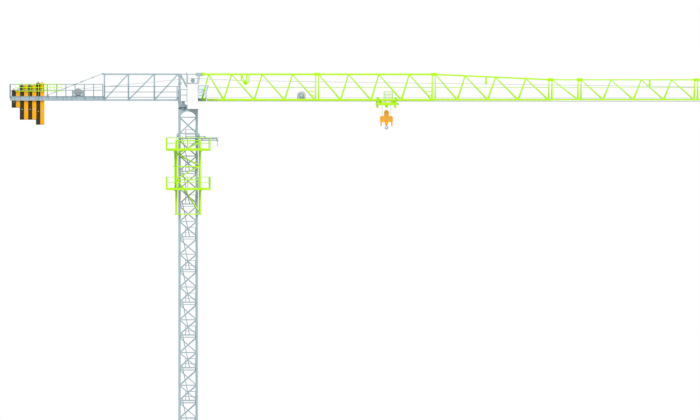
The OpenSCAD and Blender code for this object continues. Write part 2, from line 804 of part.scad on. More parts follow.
module turret_base() {
    color(STEEL) {
        difference() {
            union() {
                translate([0, 0, frame_z]) cylinder(r = turret_flange_r, h = 21);
                translate([-post_low_out, -post_low_out, frame_z + 20])
                    cube([2 * post_low_out, 2 * post_low_out, turret_box_h - 20]);
                block([pinion_spot[0] - pinion_boss_r, pinion_spot[1] - pinion_boss_r, frame_z + 20],
                      [pinion_spot[0] + pinion_boss_r, -post_low_out + 1, bracket_top]);
            }
            translate([0, 0, frame_z - 1]) cylinder(r = man_hole_r, h = turret_box_h + 2);
            translate([pinion_spot[0], pinion_spot[1], frame_z - 1])
                cylinder(r = pinion_shaft_r + shaft_clear, h = turret_box_h + 2);
            translate([pinion_spot[0], pinion_spot[1], bracket_top])
                cylinder(r = pinion_boss_r, h = turret_box_h);
        }
    }
}

module slewing_pinion() {
    color(DARK_STEEL) translate([pinion_spot[0], pinion_spot[1], 0]) {
        translate([0, 0, support_top + ring_gap])
            rotate(pinion_phase) linear_extrude(ring_h - ring_gap) gear_outline(pinion_teeth, backlash);
        translate([0, 0, support_top + ring_gap + 1])
            cylinder(r = pinion_shaft_r, h = bracket_top - support_top - ring_gap - 2);
    }
}
module slewing_drive() {
    color(DARK_STEEL) translate([pinion_spot[0], pinion_spot[1], bracket_top + seat]) {
        cylinder(r = pinion_boss_r - 8, h = 70);
        translate([0, 0, 69]) cylinder(r = pinion_boss_r - 26, h = 76);
        translate([0, 0, 144]) cylinder(r = pinion_boss_r - 40, h = slewing_motor_h - 144);
    }
}

module tower_head() {
    post_z = low_z + 440;
    knee_z = low_z + 366;
    frame_low = high_z - 387;
    joint_half = 60;
    fork = lug_t / 2 + seat;
    front_top = [top_pin_x - 100, joint_half - head_post / 2, high_z - 60];
    diag_top = [-leg_c + head_post / 2, leg_c, high_z - 20];
    diag_low = [leg_c, leg_c, box_top + seat + head_diag / 2];
    mid_t = (high_z - 20 - frame_low) / (high_z - 20 - diag_low[2]);
    knee_t = (frame_low - knee_z) / (front_top[2] - knee_z);
    front_mid = [leg_c + (front_top[0] - leg_c) * knee_t, leg_c + (front_top[1] - leg_c) * knee_t, frame_low];
    rear_mid = [diag_top[0] + (diag_low[0] - diag_top[0]) * mid_t, leg_c, frame_low];
    color(STEEL) {
        difference() {
            union() {
                both_sides() {
                    block([-post_low_out, leg_c - head_post_low / 2, box_top + seat],
                          [-leg_c + head_post_low / 2, post_low_out, post_z]);
                    block([-leg_c - head_post / 2, leg_c - head_post / 2, post_z - 1],
                          [-leg_c + head_post / 2, leg_c + head_post / 2, high_z + cj_chord / 2]);
                    block([leg_c - head_post_low / 2, leg_c - head_post_low / 2, box_top + seat],
                          [post_low_out, post_low_out, knee_z]);
                    beam([leg_c, leg_c, knee_z - head_post / 2], front_top, head_post);
                    beam(diag_top, diag_low, head_diag);
                    beam([-leg_c, leg_c, high_z], [top_pin_x - 180, joint_half - 30, high_z], head_bar);
                    beam(rear_mid, front_mid, head_bar);
                }
                block([top_pin_x - 230, -joint_half, high_z - 78], [top_pin_x + 22, joint_half, high_z + 62]);
                for (z = [low_z, high_z])
                    block([-leg_c - 25, -leg_c, z - 25], [-leg_c + 25, leg_c, z + 25]);
                block([leg_c - 25, -leg_c, low_z - 60], [leg_c + 25, leg_c, low_z - 10]);
                block([180, -front_mid[1] - 60, frame_low - 17], [220, front_mid[1] + 60, frame_low + 17]);
            }
            block([top_pin_x - 90, -fork, high_z - 100], [top_pin_x + 60, fork, high_z + 100]);
        }
        translate([top_pin_x, 0, high_z]) rotate([90, 0, 0])
            cylinder(r = jib_pin_r, h = 2 * joint_half + 24, center = true);
        for (s = [-1, 1]) translate([jib_x + 20, s * jib_w / 2, low_z]) rotate([90, 0, 0])
            cylinder(r = jib_pin_r, h = chord_heavy + 10, center = true);
        for (s = [-1, 1], k = [-1, 1])
            wall_panel(s * jib_w / 2 + k * (chord_heavy / 4 + seat + 9), 18)
                polygon([[post_low_out - 1, low_z - 80], [jib_x + root_ear, low_z - 42],
                         [jib_x + root_ear, low_z + 42], [post_low_out - 1, low_z + 80]]);
    }
}

// Reach of the ears that hold the lower chords, past the start of the jib
root_ear = 52;
module tower_platforms() {
    edge = post_low_out + seat;
    plate_edge = max(post_low_out, (jib_w + chord_heavy) / 2) + seat;
    far_w = 290;
    near_w = cab_gap - (post_low_out - mast_w / 2) - 12;
    rail_end = 667;
    color(STEEL) {
        block([-post_low_out, plate_edge, platform_z - 8], [rail_end, edge + far_w, platform_z]);
        for (x = [-leg_c, leg_c])
            block([x - 20, edge, platform_z - 50], [x + 20, edge + far_w, platform_z - 7]);
        translate([(rail_end - post_low_out) / 2, edge + far_w - 9, platform_z - 1])
            railing(rail_end + post_low_out, cj_rail_h, cj_rail_t, 360);
        translate([rail_end - 9, (plate_edge + 7 + edge + far_w) / 2, platform_z - 1]) rotate(90)
            railing(edge + far_w - plate_edge - 7, cj_rail_h, cj_rail_t, 360);
        block([-post_low_out, -edge - near_w, platform_z - 8], [-cab_back_x - 20, -edge, platform_z]);
        block([-leg_c - 20, -edge - near_w, platform_z - 50], [-leg_c + 20, -edge, platform_z - 7]);
        translate([-(post_low_out + cab_back_x + 20) / 2, -edge - near_w + 9, platform_z - 1])
            railing(post_low_out - cab_back_x - 20, cj_rail_h, cj_rail_t, 360);
        for (z = [platform_z - 50, low_z + 280])
            block([leg_c - 30, -cab_in_y + seat, z - 20], [leg_c + 30, -edge, z + 30]);
        block([40, -cab_in_y + seat, box_top - 60], [100, -edge, box_top - 10]);
    }
}

// Cab, beside the tower head on the near side
cab_in_y = mast_w / 2 + cab_gap;
cab_z = high_z - cab_roof_drop - cab_h;
cab_front = cab_l - cab_back_x;
cab_floor_front = cab_floor_l - cab_back_x;
visor_z = cab_h - 45;

module cab_outline(inset) {
    polygon([[-cab_back_x + inset, inset], [cab_floor_front - 24 - inset * 0.4, inset],
             [cab_floor_front - inset, 30 + inset * 0.4], [cab_floor_front - inset, window_bar_h - 10],
             [cab_front - inset * 1.2, visor_z - inset * 0.4], [cab_front - 30 - inset, visor_z + 12 - inset],
             [cab_front * 0.45, cab_h - inset], [-cab_back_x + 26, cab_h - inset],
             [-cab_back_x + inset, cab_h - 26]]);
}

module cab_window(part) {
    intersection() {
        cab_outline(30);
        if (part == "low")
            translate([cab_front * 0.43, sill_h]) square([cab_l, window_bar_h - sill_h - 14]);
        else if (part == "high")
            translate([cab_front * 0.43, window_bar_h + 14]) square([cab_l, cab_h - window_bar_h - 70]);
        else
            translate([60, sill_h + 60]) square([188, cab_h - sill_h - 150]);
    }
}

module cab_side() {
    difference() {
        cab_outline(0);
        for (part = ["low", "high", "door"]) cab_window(part);
    }
}

module cab_shell() {
    mid_y = -cab_in_y - cab_w / 2;
    in_half = cab_w / 2 - cab_wall - seat;
    color(WHITE) translate([0, mid_y, cab_z]) {
        for (s = [-1, 1]) wall_panel(s * (cab_w - cab_wall) / 2, cab_wall) cab_side();
        // floor, back, roof and front below the windscreen, each a panel of its own
        block([-cab_back_x, -in_half, 0], [cab_floor_front - 26, in_half, cab_wall]);
        block([-cab_back_x, -in_half, cab_wall + seat], [-cab_back_x + cab_wall, in_half, cab_h - 30]);
        block([-cab_back_x + 27, -in_half, cab_h - cab_wall], [cab_front * 0.45, in_half, cab_h]);
        wall_panel(0, 2 * in_half) polygon([[cab_front * 0.45 + seat, cab_h - cab_wall],
            [cab_front - 40, visor_z + 12 - cab_wall], [cab_front - 30, visor_z + 12],
            [cab_front * 0.45 + seat, cab_h - 0.3]]);
        block([cab_floor_front - cab_wall, -in_half, 32], [cab_floor_front, in_half, sill_h]);
        block([cab_floor_front - cab_wall, -in_half, window_bar_h - 24],
              [cab_floor_front, in_half, window_bar_h - 10]);
    }
}

module cab_glazing() {
    mid_y = -cab_in_y - cab_w / 2;
    in_half = cab_w / 2 - cab_wall - seat;
    color(GLASS, 0.5) translate([0, mid_y, cab_z]) {
        for (s = [-1, 1], part = ["low", "high", "door"])
            wall_panel(s * (cab_w - cab_wall) / 2, glass_t) offset(delta = -seat) cab_window(part);
        block([cab_floor_front - 5 - glass_t, -in_half, sill_h + seat],
              [cab_floor_front - 5, in_half, window_bar_h - 24 - seat]);
        wall_panel(0, 2 * in_half) polygon([[cab_floor_front - 5 - glass_t, window_bar_h - 10 + seat],
            [cab_floor_front - 5, window_bar_h - 10 + seat], [cab_front - 46, visor_z - cab_wall],
            [cab_front - 46 - glass_t, visor_z - cab_wall]]);
    }
}

// Counter jib
truss_front = post_low_out + seat;
truss_rear = bay_3_x + cj_chord / 2;
cj_low = low_z - 10;
beam_top = cj_low + 158;
tie_high = [-truss_rear - 50, high_z + 24];
tie_low = [-tie_low_x, beam_top + 50];
tie_disc_r = 30;
tie_ear_t = 10;

// Two pairs of ears round a tie bar's end at p, standing on the line between two foot points
module tie_ears(p, foot) {
    rise = p - (foot[0] + foot[1]) / 2;
    side = [-rise[1], rise[0]] / norm(rise) * (tie_disc_r - 2);
    for (s = [-1, 1], k = [-1, 1])
        wall_panel(s * leg_c + k * (tie_t / 2 + seat + tie_ear_t / 2), tie_ear_t) difference() {
            union() {
                translate(p) circle(r = tie_disc_r - 2);
                polygon([p + side, p - side, foot[1], foot[0]]);
            }
            translate(p) circle(r = jib_pin_r);
        }
}

module counter_jib_truss() {
    posts = [bay_1_x, bay_2_x, bay_3_x];
    tops = [truss_front, bay_1_x, bay_2_x];
    color(STEEL) {
        for (s = [-1, 1]) {
            for (z = [cj_low, high_z])
                block([-truss_rear, s * leg_c - cj_chord / 2, z - cj_chord / 2],
                      [-truss_front, s * leg_c + cj_chord / 2, z + cj_chord / 2]);
            wall_panel(s * leg_c, cj_bar) union() {
                for (x = posts) strut([-x, cj_low], [-x, high_z], cj_bar);
                for (k = [0:2]) strut([-posts[k], cj_low], [-tops[k] - 20, high_z], cj_bar);
                polygon([[-truss_front, cj_low], [-truss_front - 180, cj_low], [-truss_front, cj_low + 130]]);
            }
        }
        for (x = posts, z = [cj_low, high_z])
            block([-x - cj_bar / 2, -leg_c, z - cj_bar / 2], [-x + cj_bar / 2, leg_c, z + cj_bar / 2]);
        for (k = [0:2])
            beam([-posts[k], -leg_c, cj_low], [-tops[k] - 20, leg_c, cj_low], cj_bar);
        tie_ears(tie_high, [[1 - truss_rear, high_z - 28], [1 - truss_rear, high_z + 28]]);
    }
}

module rear_deck() {
    front = truss_rear + seat;
    slab_front = slab_rear_x - (slabs_small + slabs_medium + slabs_tall) * (slab_t + slab_gap);
    cross = [deck_rear_x - 30, slab_front - 40, winch_x + 300, winch_x - 300, front + 30];
    inner = leg_c - deck_beam_w / 2 - seat;
    color(STEEL) {
        for (s = [-1, 1])
            translate([-(deck_rear_x + front) / 2, s * leg_c, beam_top - deck_beam_h])
                i_beam(deck_rear_x - front, deck_beam_h, deck_beam_w, deck_beam_t, deck_beam_t);
        for (x = cross)
            block([-x - 25, -leg_c, beam_top - deck_beam_h + 20], [-x + 25, leg_c, beam_top - 10]);
        block([-slab_front + 66, -inner, beam_top - 10 + seat], [-front - 4, inner, beam_top - 10 + seat + floor_t]);
        block([-truss_rear + 60, -leg_c + cj_chord, cj_low + cj_bar / 2 + seat],
              [-truss_front - 4, leg_c - cj_chord, cj_low + cj_bar / 2 + seat + floor_t]);
        tie_ears(tie_low, [[tie_low[0] - 70, beam_top - 1], [tie_low[0] + 70, beam_top - 1]]);
    }
}

module counter_jib_railings() {
    rail_y = leg_c + deck_beam_w / 2 + seat + cj_rail_t / 2;
    truss_y = leg_c + cj_chord / 2 + seat + cj_rail_t / 2;
    rear_l = deck_rear_x - truss_rear - 60;
    foot = beam_top - deck_beam_h * 0.45;
    bays = 10;
    color(STEEL) for (s = [-1, 1]) {
        for (k = [0:bays])
            beam([-deck_rear_x + 20 + k * rear_l / bays, s * rail_y, foot],
                 [-deck_rear_x + 20 + k * rear_l / bays, s * rail_y, beam_top + cj_rail_h], cj_rail_t);
        for (z = [beam_top + 257, beam_top + cj_rail_h])
            beam([-deck_rear_x, s * rail_y, z], [-deck_rear_x + rear_l + 29, s * rail_y, z], cj_rail_t);
        for (z = [cj_low + 118, cj_low + 342, cj_low + 581])
            beam([-truss_rear + 4, s * truss_y, z], [-truss_front - 6, s * truss_y, z], cj_rail_t);
        for (x = [bay_3_x, bay_2_x, bay_1_x, truss_front + 60])
            beam([-x, s * truss_y, cj_low - 12], [-x, s * truss_y, cj_low + 590], cj_rail_t);
    }
    color(STEEL) translate([-deck_rear_x - cj_rail_t / 2 - seat, 0, foot]) rotate(90)
        railing(2 * rail_y, beam_top + cj_rail_h - foot, cj_rail_t, 420);
}

module tie_bars() {
    run = tie_high - tie_low;
    color(STEEL) for (s = [-1, 1]) wall_panel(s * leg_c, tie_t) difference() {
        union() {
            strut(tie_low, tie_high, tie_t);
            for (p = [tie_low, tie_high]) translate(p) circle(r = tie_disc_r);
        }
        for (p = [tie_low, tie_high]) translate(p) circle(r = jib_pin_r);
    }
    // pins through the ears, and the plates over the joints along each bar
    color(STEEL) for (s = [-1, 1], p = [tie_low, tie_high])
        translate([p[0], s * leg_c, p[1]]) rotate([90, 0, 0])
            cylinder(r = jib_pin_r - seat, h = tie_t + 2 * tie_ear_t + 16, center = true);
    color(STEEL) for (s = [-1, 1], k = [1:tie_joints])
        wall_panel(s * (leg_c + tie_t / 2 + seat + 4), 8)
            translate(tie_low + run * k / (tie_joints + 1)) rotate(atan2(run[1], run[0]))
                translate([-60, -tie_disc_r * 0.6]) square([120, tie_disc_r * 1.2]);
}

winch_axis = beam_top + winch_z;
cheek_y = drum_l / 2 + drum_flange_t + 6 + cheek_t / 2;
deck_floor = beam_top - 10 + seat + floor_t;

module hoist_winch_frame() {
    foot = deck_floor + seat;
    half = winch_leg_span / 2;
    color(STEEL) {
        for (s = [-1, 1]) wall_panel(s * cheek_y, cheek_t) difference() {
            union() {
                translate([-winch_x - half - 34, foot]) square([winch_leg_span + 68, 44]);
                for (k = [-1, 1])
                    translate([-winch_x + k * half - 34, foot]) square([68, winch_axis + 84 - foot]);
                translate([-winch_x - half, winch_axis - 30]) square([winch_leg_span, 60]);
                polygon([[-winch_x - 90, foot], [-winch_x + 90, foot], [-winch_x + 52, winch_axis + 30],
                         [-winch_x - 52, winch_axis + 30]]);
            }
            translate([-winch_x, winch_axis]) circle(r = drum_shaft_r + shaft_clear);
        }
        for (k = [-1, 1])
            block([-winch_x + k * (half + 10) - 20, -cheek_y, foot], [-winch_x + k * (half + 10) + 20, cheek_y, foot + 40]);
    }
    // gearbox on the near end and motor on the far end, each bolted to its cheek
    color(GREY) {
        translate([-winch_x, -cheek_y - cheek_t / 2 - seat, winch_axis]) rotate([90, 0, 0])
            cylinder(r = 132, h = 66);
        translate([-winch_x, cheek_y + cheek_t / 2 + seat, winch_axis]) rotate([-90, 0, 0])
            cylinder(r = 96, h = 88);
    }
}

module hoist_drum() {
    half = drum_l / 2;
    grooves = 14;
    step = drum_l / grooves;
    color(GREY) translate([-winch_x, 0, winch_axis]) rotate([90, 0, 0]) rotate_extrude()
        polygon(concat(
            [[0, -cheek_y - cheek_t / 2], [drum_shaft_r, -cheek_y - cheek_t / 2],
             [drum_shaft_r, -half - drum_flange_t], [drum_flange_r, -half - drum_flange_t],
             [drum_flange_r, -half]],
            [for (k = [0:grooves - 1], e = [[0, 0], [rope_r, 0.5]])
                [drum_rope_r + e[0], -half + (k + e[1]) * step]],
            [[drum_rope_r, half], [drum_flange_r, half], [drum_flange_r, half + drum_flange_t],
             [drum_shaft_r, half + drum_flange_t], [drum_shaft_r, cheek_y + cheek_t / 2],
             [0, cheek_y + cheek_t / 2]]));
}

// Slab k counted from the rear, hung between the deck's side beams
module slab(k) {
    size = k < slabs_small ? [slab_small_drop, slab_small_rise]
         : k < slabs_small + slabs_medium ? [slab_medium_drop, slab_medium_rise]
         : [slab_tall_drop, slab_tall_rise];
    in = leg_c - deck_beam_w / 2 - 6;
    out = leg_c + deck_beam_w / 2 - 4;
    translate([-slab_rear_x + k * (slab_t + slab_gap), 0, beam_top]) {
        rotate([90, 0, 90]) linear_extrude(slab_t)
            polygon([[-in, 0], [-in, -size[0] + 30], [-in + 30, -size[0]], [in - 30, -size[0]],
                     [in, -size[0] + 30], [in, 0], [in, seat], [out, seat], [out, size[1] - 30],
                     [out - 30, size[1]], [30 - out, size[1]], [-out, size[1] - 30], [-out, seat], [-in, seat]]);
        for (s = [-1, 1])
            block([slab_t / 2 - 14, s * 200 - 30, size[1] - 1], [slab_t / 2 + 14, s * 200 + 30, size[1] + 36]);
    }
}

module counterweights(start, tint) {
    last = slabs_small + slabs_medium + slabs_tall - 1;
    color(tint) for (k = [start:2:last]) slab(k);
}

module counterweights_dark() {
    counterweights(0, CONCRETE);
}

module counterweights_yellow() {
    counterweights(1, YELLOW);
}

module sign_frame() {
    y = -(leg_c + deck_beam_w / 2 + 2 * seat + cj_rail_t + sign_bar / 2);
    z0 = beam_top + 200;
    slats = 12;
    color(LIME) wall_panel(y, sign_bar) translate([-sign_rear_x, z0]) {
        difference() {
            square([sign_l, sign_h]);
            translate([sign_bar, sign_bar]) square([sign_l - 2 * sign_bar, sign_h - 2 * sign_bar]);
        }
        for (k = [1:slats - 1]) translate([k * sign_l / slats - sign_bar / 2, 0]) square([sign_bar, sign_h]);
        translate([0, sign_h / 2 - sign_bar / 2]) square([sign_l, sign_bar]);
    }
}

// Start of each jib section along X, and of the end of the jib
section_x = [0, jib_x, jib_x + jib_l, jib_x + 2 * jib_l, jib_x + 3 * jib_l,
             jib_x + 3 * jib_l + jib_short_l, jib_x + 4 * jib_l + jib_short_l,
             jib_x + 4 * jib_l + jib_short_l + jib_tip_l];
chord_mid = (chord_heavy + chord_light) / 2;
section_chord = [0, chord_heavy, chord_heavy, chord_mid, chord_light, chord_light, chord_light];
section_diag = [0, diag_heavy, diag_heavy, diag_heavy, diag_light, diag_light, diag_light];
section_drop = [0, 0, 0, 0, jib_drop, jib_drop, jib_drop, jib_drop];
rail_z = low_z + chord_heavy / 2;
root_high = 355;

// Joint lug of the upper chord, thick at the joint and tapered along the chord
module chord_lug(x, z, dir, chord) {
    wall_panel(0, max(lug_t, chord))
        polygon([[x, z - lug_h / 2 + 20], [x, z + lug_h / 2 - 20], [x + dir * 26, z + lug_h / 2],
                 [x + dir * lug_l * 0.55, z + lug_h / 2], [x + dir * lug_l, z + chord / 2 - 1],
                 [x + dir * lug_l, z - chord / 2 + 1], [x + dir * lug_l * 0.55, z - lug_h / 2],
                 [x + dir * 26, z - lug_h / 2]]);
}

// Section i of the jib, with three chords, two side lattices and a lower lattice
module jib_lattice(i) {
    x0 = section_x[i];
    l = section_x[i + 1] - x0;
    w = section_chord[i];
    d = section_diag[i];
    zl = rail_z - w / 2;
    yl = jib_w / 2 + chord_heavy / 2 - w / 2;
    z0 = high_z - section_drop[i];
    z1 = high_z - section_drop[i + 1];
    // the side lattices stand on the inner part of the chords, clear of the trolley's wheels
    lean = yl / (z0 - zl);
    foot = wheel_y - wheel_w / 2 - lattice_gap - end_bar / 2 * sqrt(1 + lean * lean);
    yf = min(yl, foot + w / 2 * lean);
    bays = floor((l - first_low) / bay_l);
    short = l < 2 * bay_l;
    lows = short ? [l - end_in] : [for (k = [0:bays]) first_low + k * bay_l];
    highs = [for (k = [0:len(lows) - 1]) k > 0 ? first_high + k * bay_l : i == 1 ? root_high : end_in];
    low_start = i == 1 ? root_ear + 3 : 0;
    high_start = i == 1 ? top_pin_x + 24 - x0 : 0;
    start = x0 + seat / 2;
    end = x0 + l - seat / 2;
    function top(x) = [x0 + x, 0, z0 + (z1 - z0) * x / l];
    high = i == 1 ? x0 + high_start : start;
    wall_panel(0, w) polygon([[high, top(high - x0)[2] - w / 2], [end, top(end - x0)[2] - w / 2],
                              [end, top(end - x0)[2] + w / 2], [high, top(high - x0)[2] + w / 2]]);
    for (s = [-1, 1]) {
        block([max(start, x0 + low_start), s * yl - w / 2, zl - w / 2], [end, s * yl + w / 2, zl + w / 2]);
        for (k = [0:len(lows) - 1]) {
            beam(top(highs[k]), [x0 + lows[k], s * yf, zl], d);
            if (k > 0) beam([x0 + lows[k - 1], s * yf, zl], top(highs[k]), d);
        }
        if (i == 1) beam([x0 + low_start + d / 2, s * yf, zl], top(root_high), d);
        for (x = i == 1 ? [l - end_in] : [end_in, l - end_in])
            beam([x0 + x, s * yf, zl], top(x), end_bar);
    }
    // lower lattice between the two lower chords
    first = max(end_in, low_start + d / 2);
    ends = concat([first], lows);
    translate([x0, 0, zl - d / 2]) linear_extrude(d) {
        for (x = concat([first], short ? [] : lows, [l - end_in])) strut([x, -yl], [x, yl], d);
        for (k = [0:len(lows) - 1])
            strut([ends[k], (k % 2 == 0 ? -1 : 1) * yl], [ends[k + 1], (k % 2 == 0 ? 1 : -1) * yl], d);
    }
    if (i > 1) chord_lug(start, z0, 1, w);
    if (i < 6) chord_lug(end, z1, -1, w);
}

module jib_section(i) {
    color(LIME) if (i == 1) difference() {
        union() {
            jib_lattice(1);
            wall_panel(0, lug_t) polygon([[top_pin_x - 55, high_z - 30], [top_pin_x - 30, high_z - 55],
                [top_pin_x + 90, high_z - 70], [top_pin_x + 190, high_z - 30], [top_pin_x + 190, high_z + 30],
                [top_pin_x + 90, high_z + 78], [top_pin_x + 10, high_z + 78], [top_pin_x - 55, high_z + 30]]);
            for (s = [-1, 1]) wall_panel(s * jib_w / 2, chord_heavy / 2)
                polygon([[jib_x - 12, low_z - 26], [jib_x + 60, low_z - 80], [jib_x + 240, low_z - 80],
                         [jib_x + 300, low_z - 30], [jib_x + 300, low_z + 30], [jib_x + 150, low_z + 38],
                         [jib_x - 12, low_z + 26]]);
        }
        translate([top_pin_x, 0, high_z]) rotate([90, 0, 0])
            cylinder(r = jib_pin_r + seat, h = chord_heavy + 2, center = true);
        for (s = [-1, 1]) translate([jib_x + 20, s * jib_w / 2, low_z]) rotate([90, 0, 0])
            cylinder(r = jib_pin_r + seat, h = chord_heavy + 2, center = true);
    }
    else jib_lattice(i);
}

module jib_tip() {
    end = section_x[7];
    zl = rail_z - chord_light / 2;
    color(LIME) {
        jib_lattice(6);
        // end plate between the three chords
        rotate([90, 0, 90]) translate([0, 0, end - 10]) linear_extrude(10) difference() {
            polygon([[-jib_w / 2 - 30, zl - 25], [jib_w / 2 + 30, zl - 25], [jib_w / 2 + 30, zl + 30],
                     [40, high_z - jib_drop + 25], [-40, high_z - jib_drop + 25], [-jib_w / 2 - 30, zl + 30]]);
            polygon([[-jib_w / 2 + 70, zl + 50], [jib_w / 2 - 70, zl + 50], [40, high_z - jib_drop - 160],
                     [-40, high_z - jib_drop - 160]]);
        }
    }
}

// Place of the rope sheaves along the jib
head_sheave_x = 200;
pulley_x = 2451;
pulley_z = low_z + 725;
tip_x = section_x[7] - 200;
trolley_axle_z = low_z - trolley_drop + 40;
rope_low_z = trolley_axle_z + sheave_r + rope_r + seat;
head_sheave_z = high_z - 387 + 17 + sheave_r + 20;
tip_high_z = low_z + 456;
tip_low_z = rope_low_z + sheave_r + rope_r;
guide_xs = [12750, 19773];
loop_y = 110;
loop_low = rope_low_z - 16;
loop_sheave_r = 76;
loop_rope_r = 4;
loop_mid = loop_low + loop_sheave_r + loop_rope_r;
loop_high = loop_mid + loop_sheave_r + loop_rope_r;
loop_root_x = 760;

// Grooved wheel on an axis along Y, with groove radius r
module sheave(r, w, bore, rope = rope_r) {
    rim = 8;
    rotate([90, 0, 0]) rotate_extrude() difference() {
        translate([bore, -w / 2]) square([r + rim - bore, w]);
        translate([r + rope, 0]) circle(r = rope + 0.4, $fn = 24);
        translate([r + rope, -rope - 0.4]) square([rim, 2 * rope + 0.8]);
    }
}

// Height of the hoist rope's upper run at x
function high_run(x) = pulley_z + sheave_r + rope_r
    + (tip_high_z - pulley_z) * (x - pulley_x) / (tip_x - pulley_x);

module jib_walkway() {
    starts = [0, 400, 0, 0, 0, 0, 0];
    ends = [0, 0, 0, 0, 0, 0, 340];
    color(DARK_STEEL) for (i = [1:6]) {
        x0 = section_x[i] + starts[i] + 4;
        x1 = section_x[i + 1] - ends[i] - 4;
        z = rail_z - section_chord[i] / 2 + section_diag[i] / 2 + seat;
        block([x0, -90, z], [x1, 90, z + 6]);
        for (s = [-1, 1]) block([x0, s * 90 - 4, z], [x1, s * 90 + 4, z + 26]);
    }
}

module rope_brackets() {
    axle = 12;
    plate_y = sheave_w / 2 + 3;
    under = high_z - chord_heavy / 2 - seat;
    tip_under = high_z - jib_drop - chord_light / 2 - seat;
    bar_x = section_x[7] - end_in - diag_light / 2 - seat;
    bar_z = rail_z - chord_light / 2;
    root_bar_x = jib_x + max(end_in, root_ear + 3 + diag_heavy / 2) + diag_heavy / 2 + seat;
    head_bar_z = high_z - 387 + 17 + seat;
    anchor_x = jib_x + 330;
    guide_l = 24;
    color(DARK_STEEL) {
        // socket that ends the hoist rope
        rod([anchor_x - 150, 0, rope_low_z], [anchor_x, 0, rope_low_z], 14);
        // sheave on the tower head
        translate([head_sheave_x, 0, head_sheave_z]) sheave(sheave_r, sheave_w, axle - 1);
        // pulley under the upper chord of the first section
        translate([pulley_x, 0, pulley_z]) sheave(sheave_r, sheave_w, axle - 1);
        for (z = [tip_high_z, tip_low_z]) translate([tip_x, 0, z]) sheave(sheave_r, sheave_w, axle - 1);
        for (x = [loop_root_x, tip_x]) translate([x, loop_y, loop_mid])
            sheave(loop_sheave_r, sheave_w, axle - 1, loop_rope_r);
        for (p = [[head_sheave_x, 0, head_sheave_z], [pulley_x, 0, pulley_z], [tip_x, 0, tip_high_z],
                  [tip_x, 0, tip_low_z], [loop_root_x, loop_y, loop_mid], [tip_x, loop_y, loop_mid]])
            translate(p) rotate([90, 0, 0]) cylinder(r = axle, h = 2 * plate_y + 22, center = true);
        translate([anchor_x - 130, 0, rope_low_z]) rotate([90, 0, 0])
            cylinder(r = axle, h = 2 * plate_y + 22, center = true);
    }
    color(LIME) {
        for (s = [-1, 1]) {
            wall_panel(s * (plate_y + 4), 8) union() {
                polygon([[root_bar_x - diag_heavy - 10, rail_z - chord_heavy / 2 - diag_heavy / 2 - seat],
                         [root_bar_x + 30, rail_z - chord_heavy / 2 - diag_heavy / 2 - seat],
                         [anchor_x - 110, rope_low_z - 16], [anchor_x - 150, rope_low_z - 16]]);
                strut([head_sheave_x, head_bar_z], [head_sheave_x, head_sheave_z + 20], 40);
                polygon([[pulley_x - 190, under], [pulley_x - 130, under], [pulley_x + 20, pulley_z - 18],
                         [pulley_x - 20, pulley_z - 18]]);
                polygon([[pulley_x + 40, under], [pulley_x + 100, under], [pulley_x + 20, pulley_z - 18],
                         [pulley_x - 20, pulley_z - 18]]);
                strut([tip_x, tip_high_z - 18], [tip_x, tip_under], 40);
                strut([tip_x - 18, tip_low_z], [bar_x, tip_low_z], 30);
                strut([bar_x - 15, tip_low_z], [bar_x - 15, bar_z - 10], 30);
            }
            wall_panel(loop_y + s * (plate_y + 4), 8) union() {
                strut([root_bar_x, loop_mid - 8], [loop_root_x + 18, loop_mid - 8], 30);
                strut([bar_x, loop_mid - 8], [tip_x - 18, loop_mid - 8], 30);
            }
        }
        // rope guides, each a ring on an arm under the upper chord
        for (x = guide_xs) {
            chord_z0 = high_z - jib_drop * max(0, min(1, (x - section_x[3]) / jib_l));
            half = x > section_x[4] ? chord_light / 2 : chord_mid / 2 + guide_l / 2 * jib_drop / jib_l;
            translate([x, 0, high_run(x)]) rotate([0, 90, 0]) difference() {
                cylinder(r = rope_r + 16, h = guide_l, center = true);
                cylinder(r = rope_r + 5, h = guide_l + 2, center = true);
            }
            block([x - guide_l / 2, -8, high_run(x) + rope_r + 9],
                  [x + guide_l / 2, 8, chord_z0 - half - seat]);
        }
    }
}

// Arc of rope round an axis along Y, from angle a over a turn, at radius r
module rope_arc(centre, r, a, turn, thick) {
    translate(centre) rotate([90, 0, 0]) rotate(a) rotate_extrude(angle = turn)
        translate([r, 0]) circle(r = thick, $fn = 24);
}

// Straight run of rope from p to q, which ends just short of the runs beside it
module rope_run(p, q, r) {
    step = (q - p) / norm(q - p) * seat;
    rod(p + step, q - step, r);
}

module hoist_rope() {
    bend = sheave_r + rope_r;
    drum_top = [-winch_x, 0, winch_axis + drum_rope_r + 2 * rope_r + seat];
    over_head = [head_sheave_x, 0, head_sheave_z + bend];
    over_pulley = [pulley_x, 0, pulley_z + bend];
    over_tip = [tip_x, 0, tip_high_z + bend];
    end_x = jib_x + 330;
    color(CONCRETE) {
        rope_run(drum_top, over_head, rope_r);
        rope_run(over_head, over_pulley, rope_r);
        rope_run(over_pulley, over_tip, rope_r);
        rope_arc([tip_x, 0, tip_high_z], bend, 0, 90, rope_r);
        rope_run([tip_x + bend, 0, tip_low_z], [tip_x + bend, 0, tip_high_z], rope_r);
        rope_arc([tip_x, 0, tip_low_z], bend, -90, 90, rope_r);
        rope_run([end_x, 0, rope_low_z], [tip_x, 0, rope_low_z], rope_r);
    }
}

module trolley_rope() {
    bend = loop_sheave_r + loop_rope_r;
    color(CONCRETE) {
        for (z = [loop_low, loop_high])
            rope_run([loop_root_x, loop_y, z], [tip_x, loop_y, z], loop_rope_r);
        rope_arc([loop_root_x, loop_y, loop_mid], bend, 90, 180, loop_rope_r);
        rope_arc([tip_x, loop_y, loop_mid], bend, -90, 180, loop_rope_r);
    }
}

trolley_winch_x = 4841;
trolley_drum_r = 96;
trolley_winch_z = loop_high + loop_rope_r + seat + trolley_drum_r;
trolley_drum_half = 140;

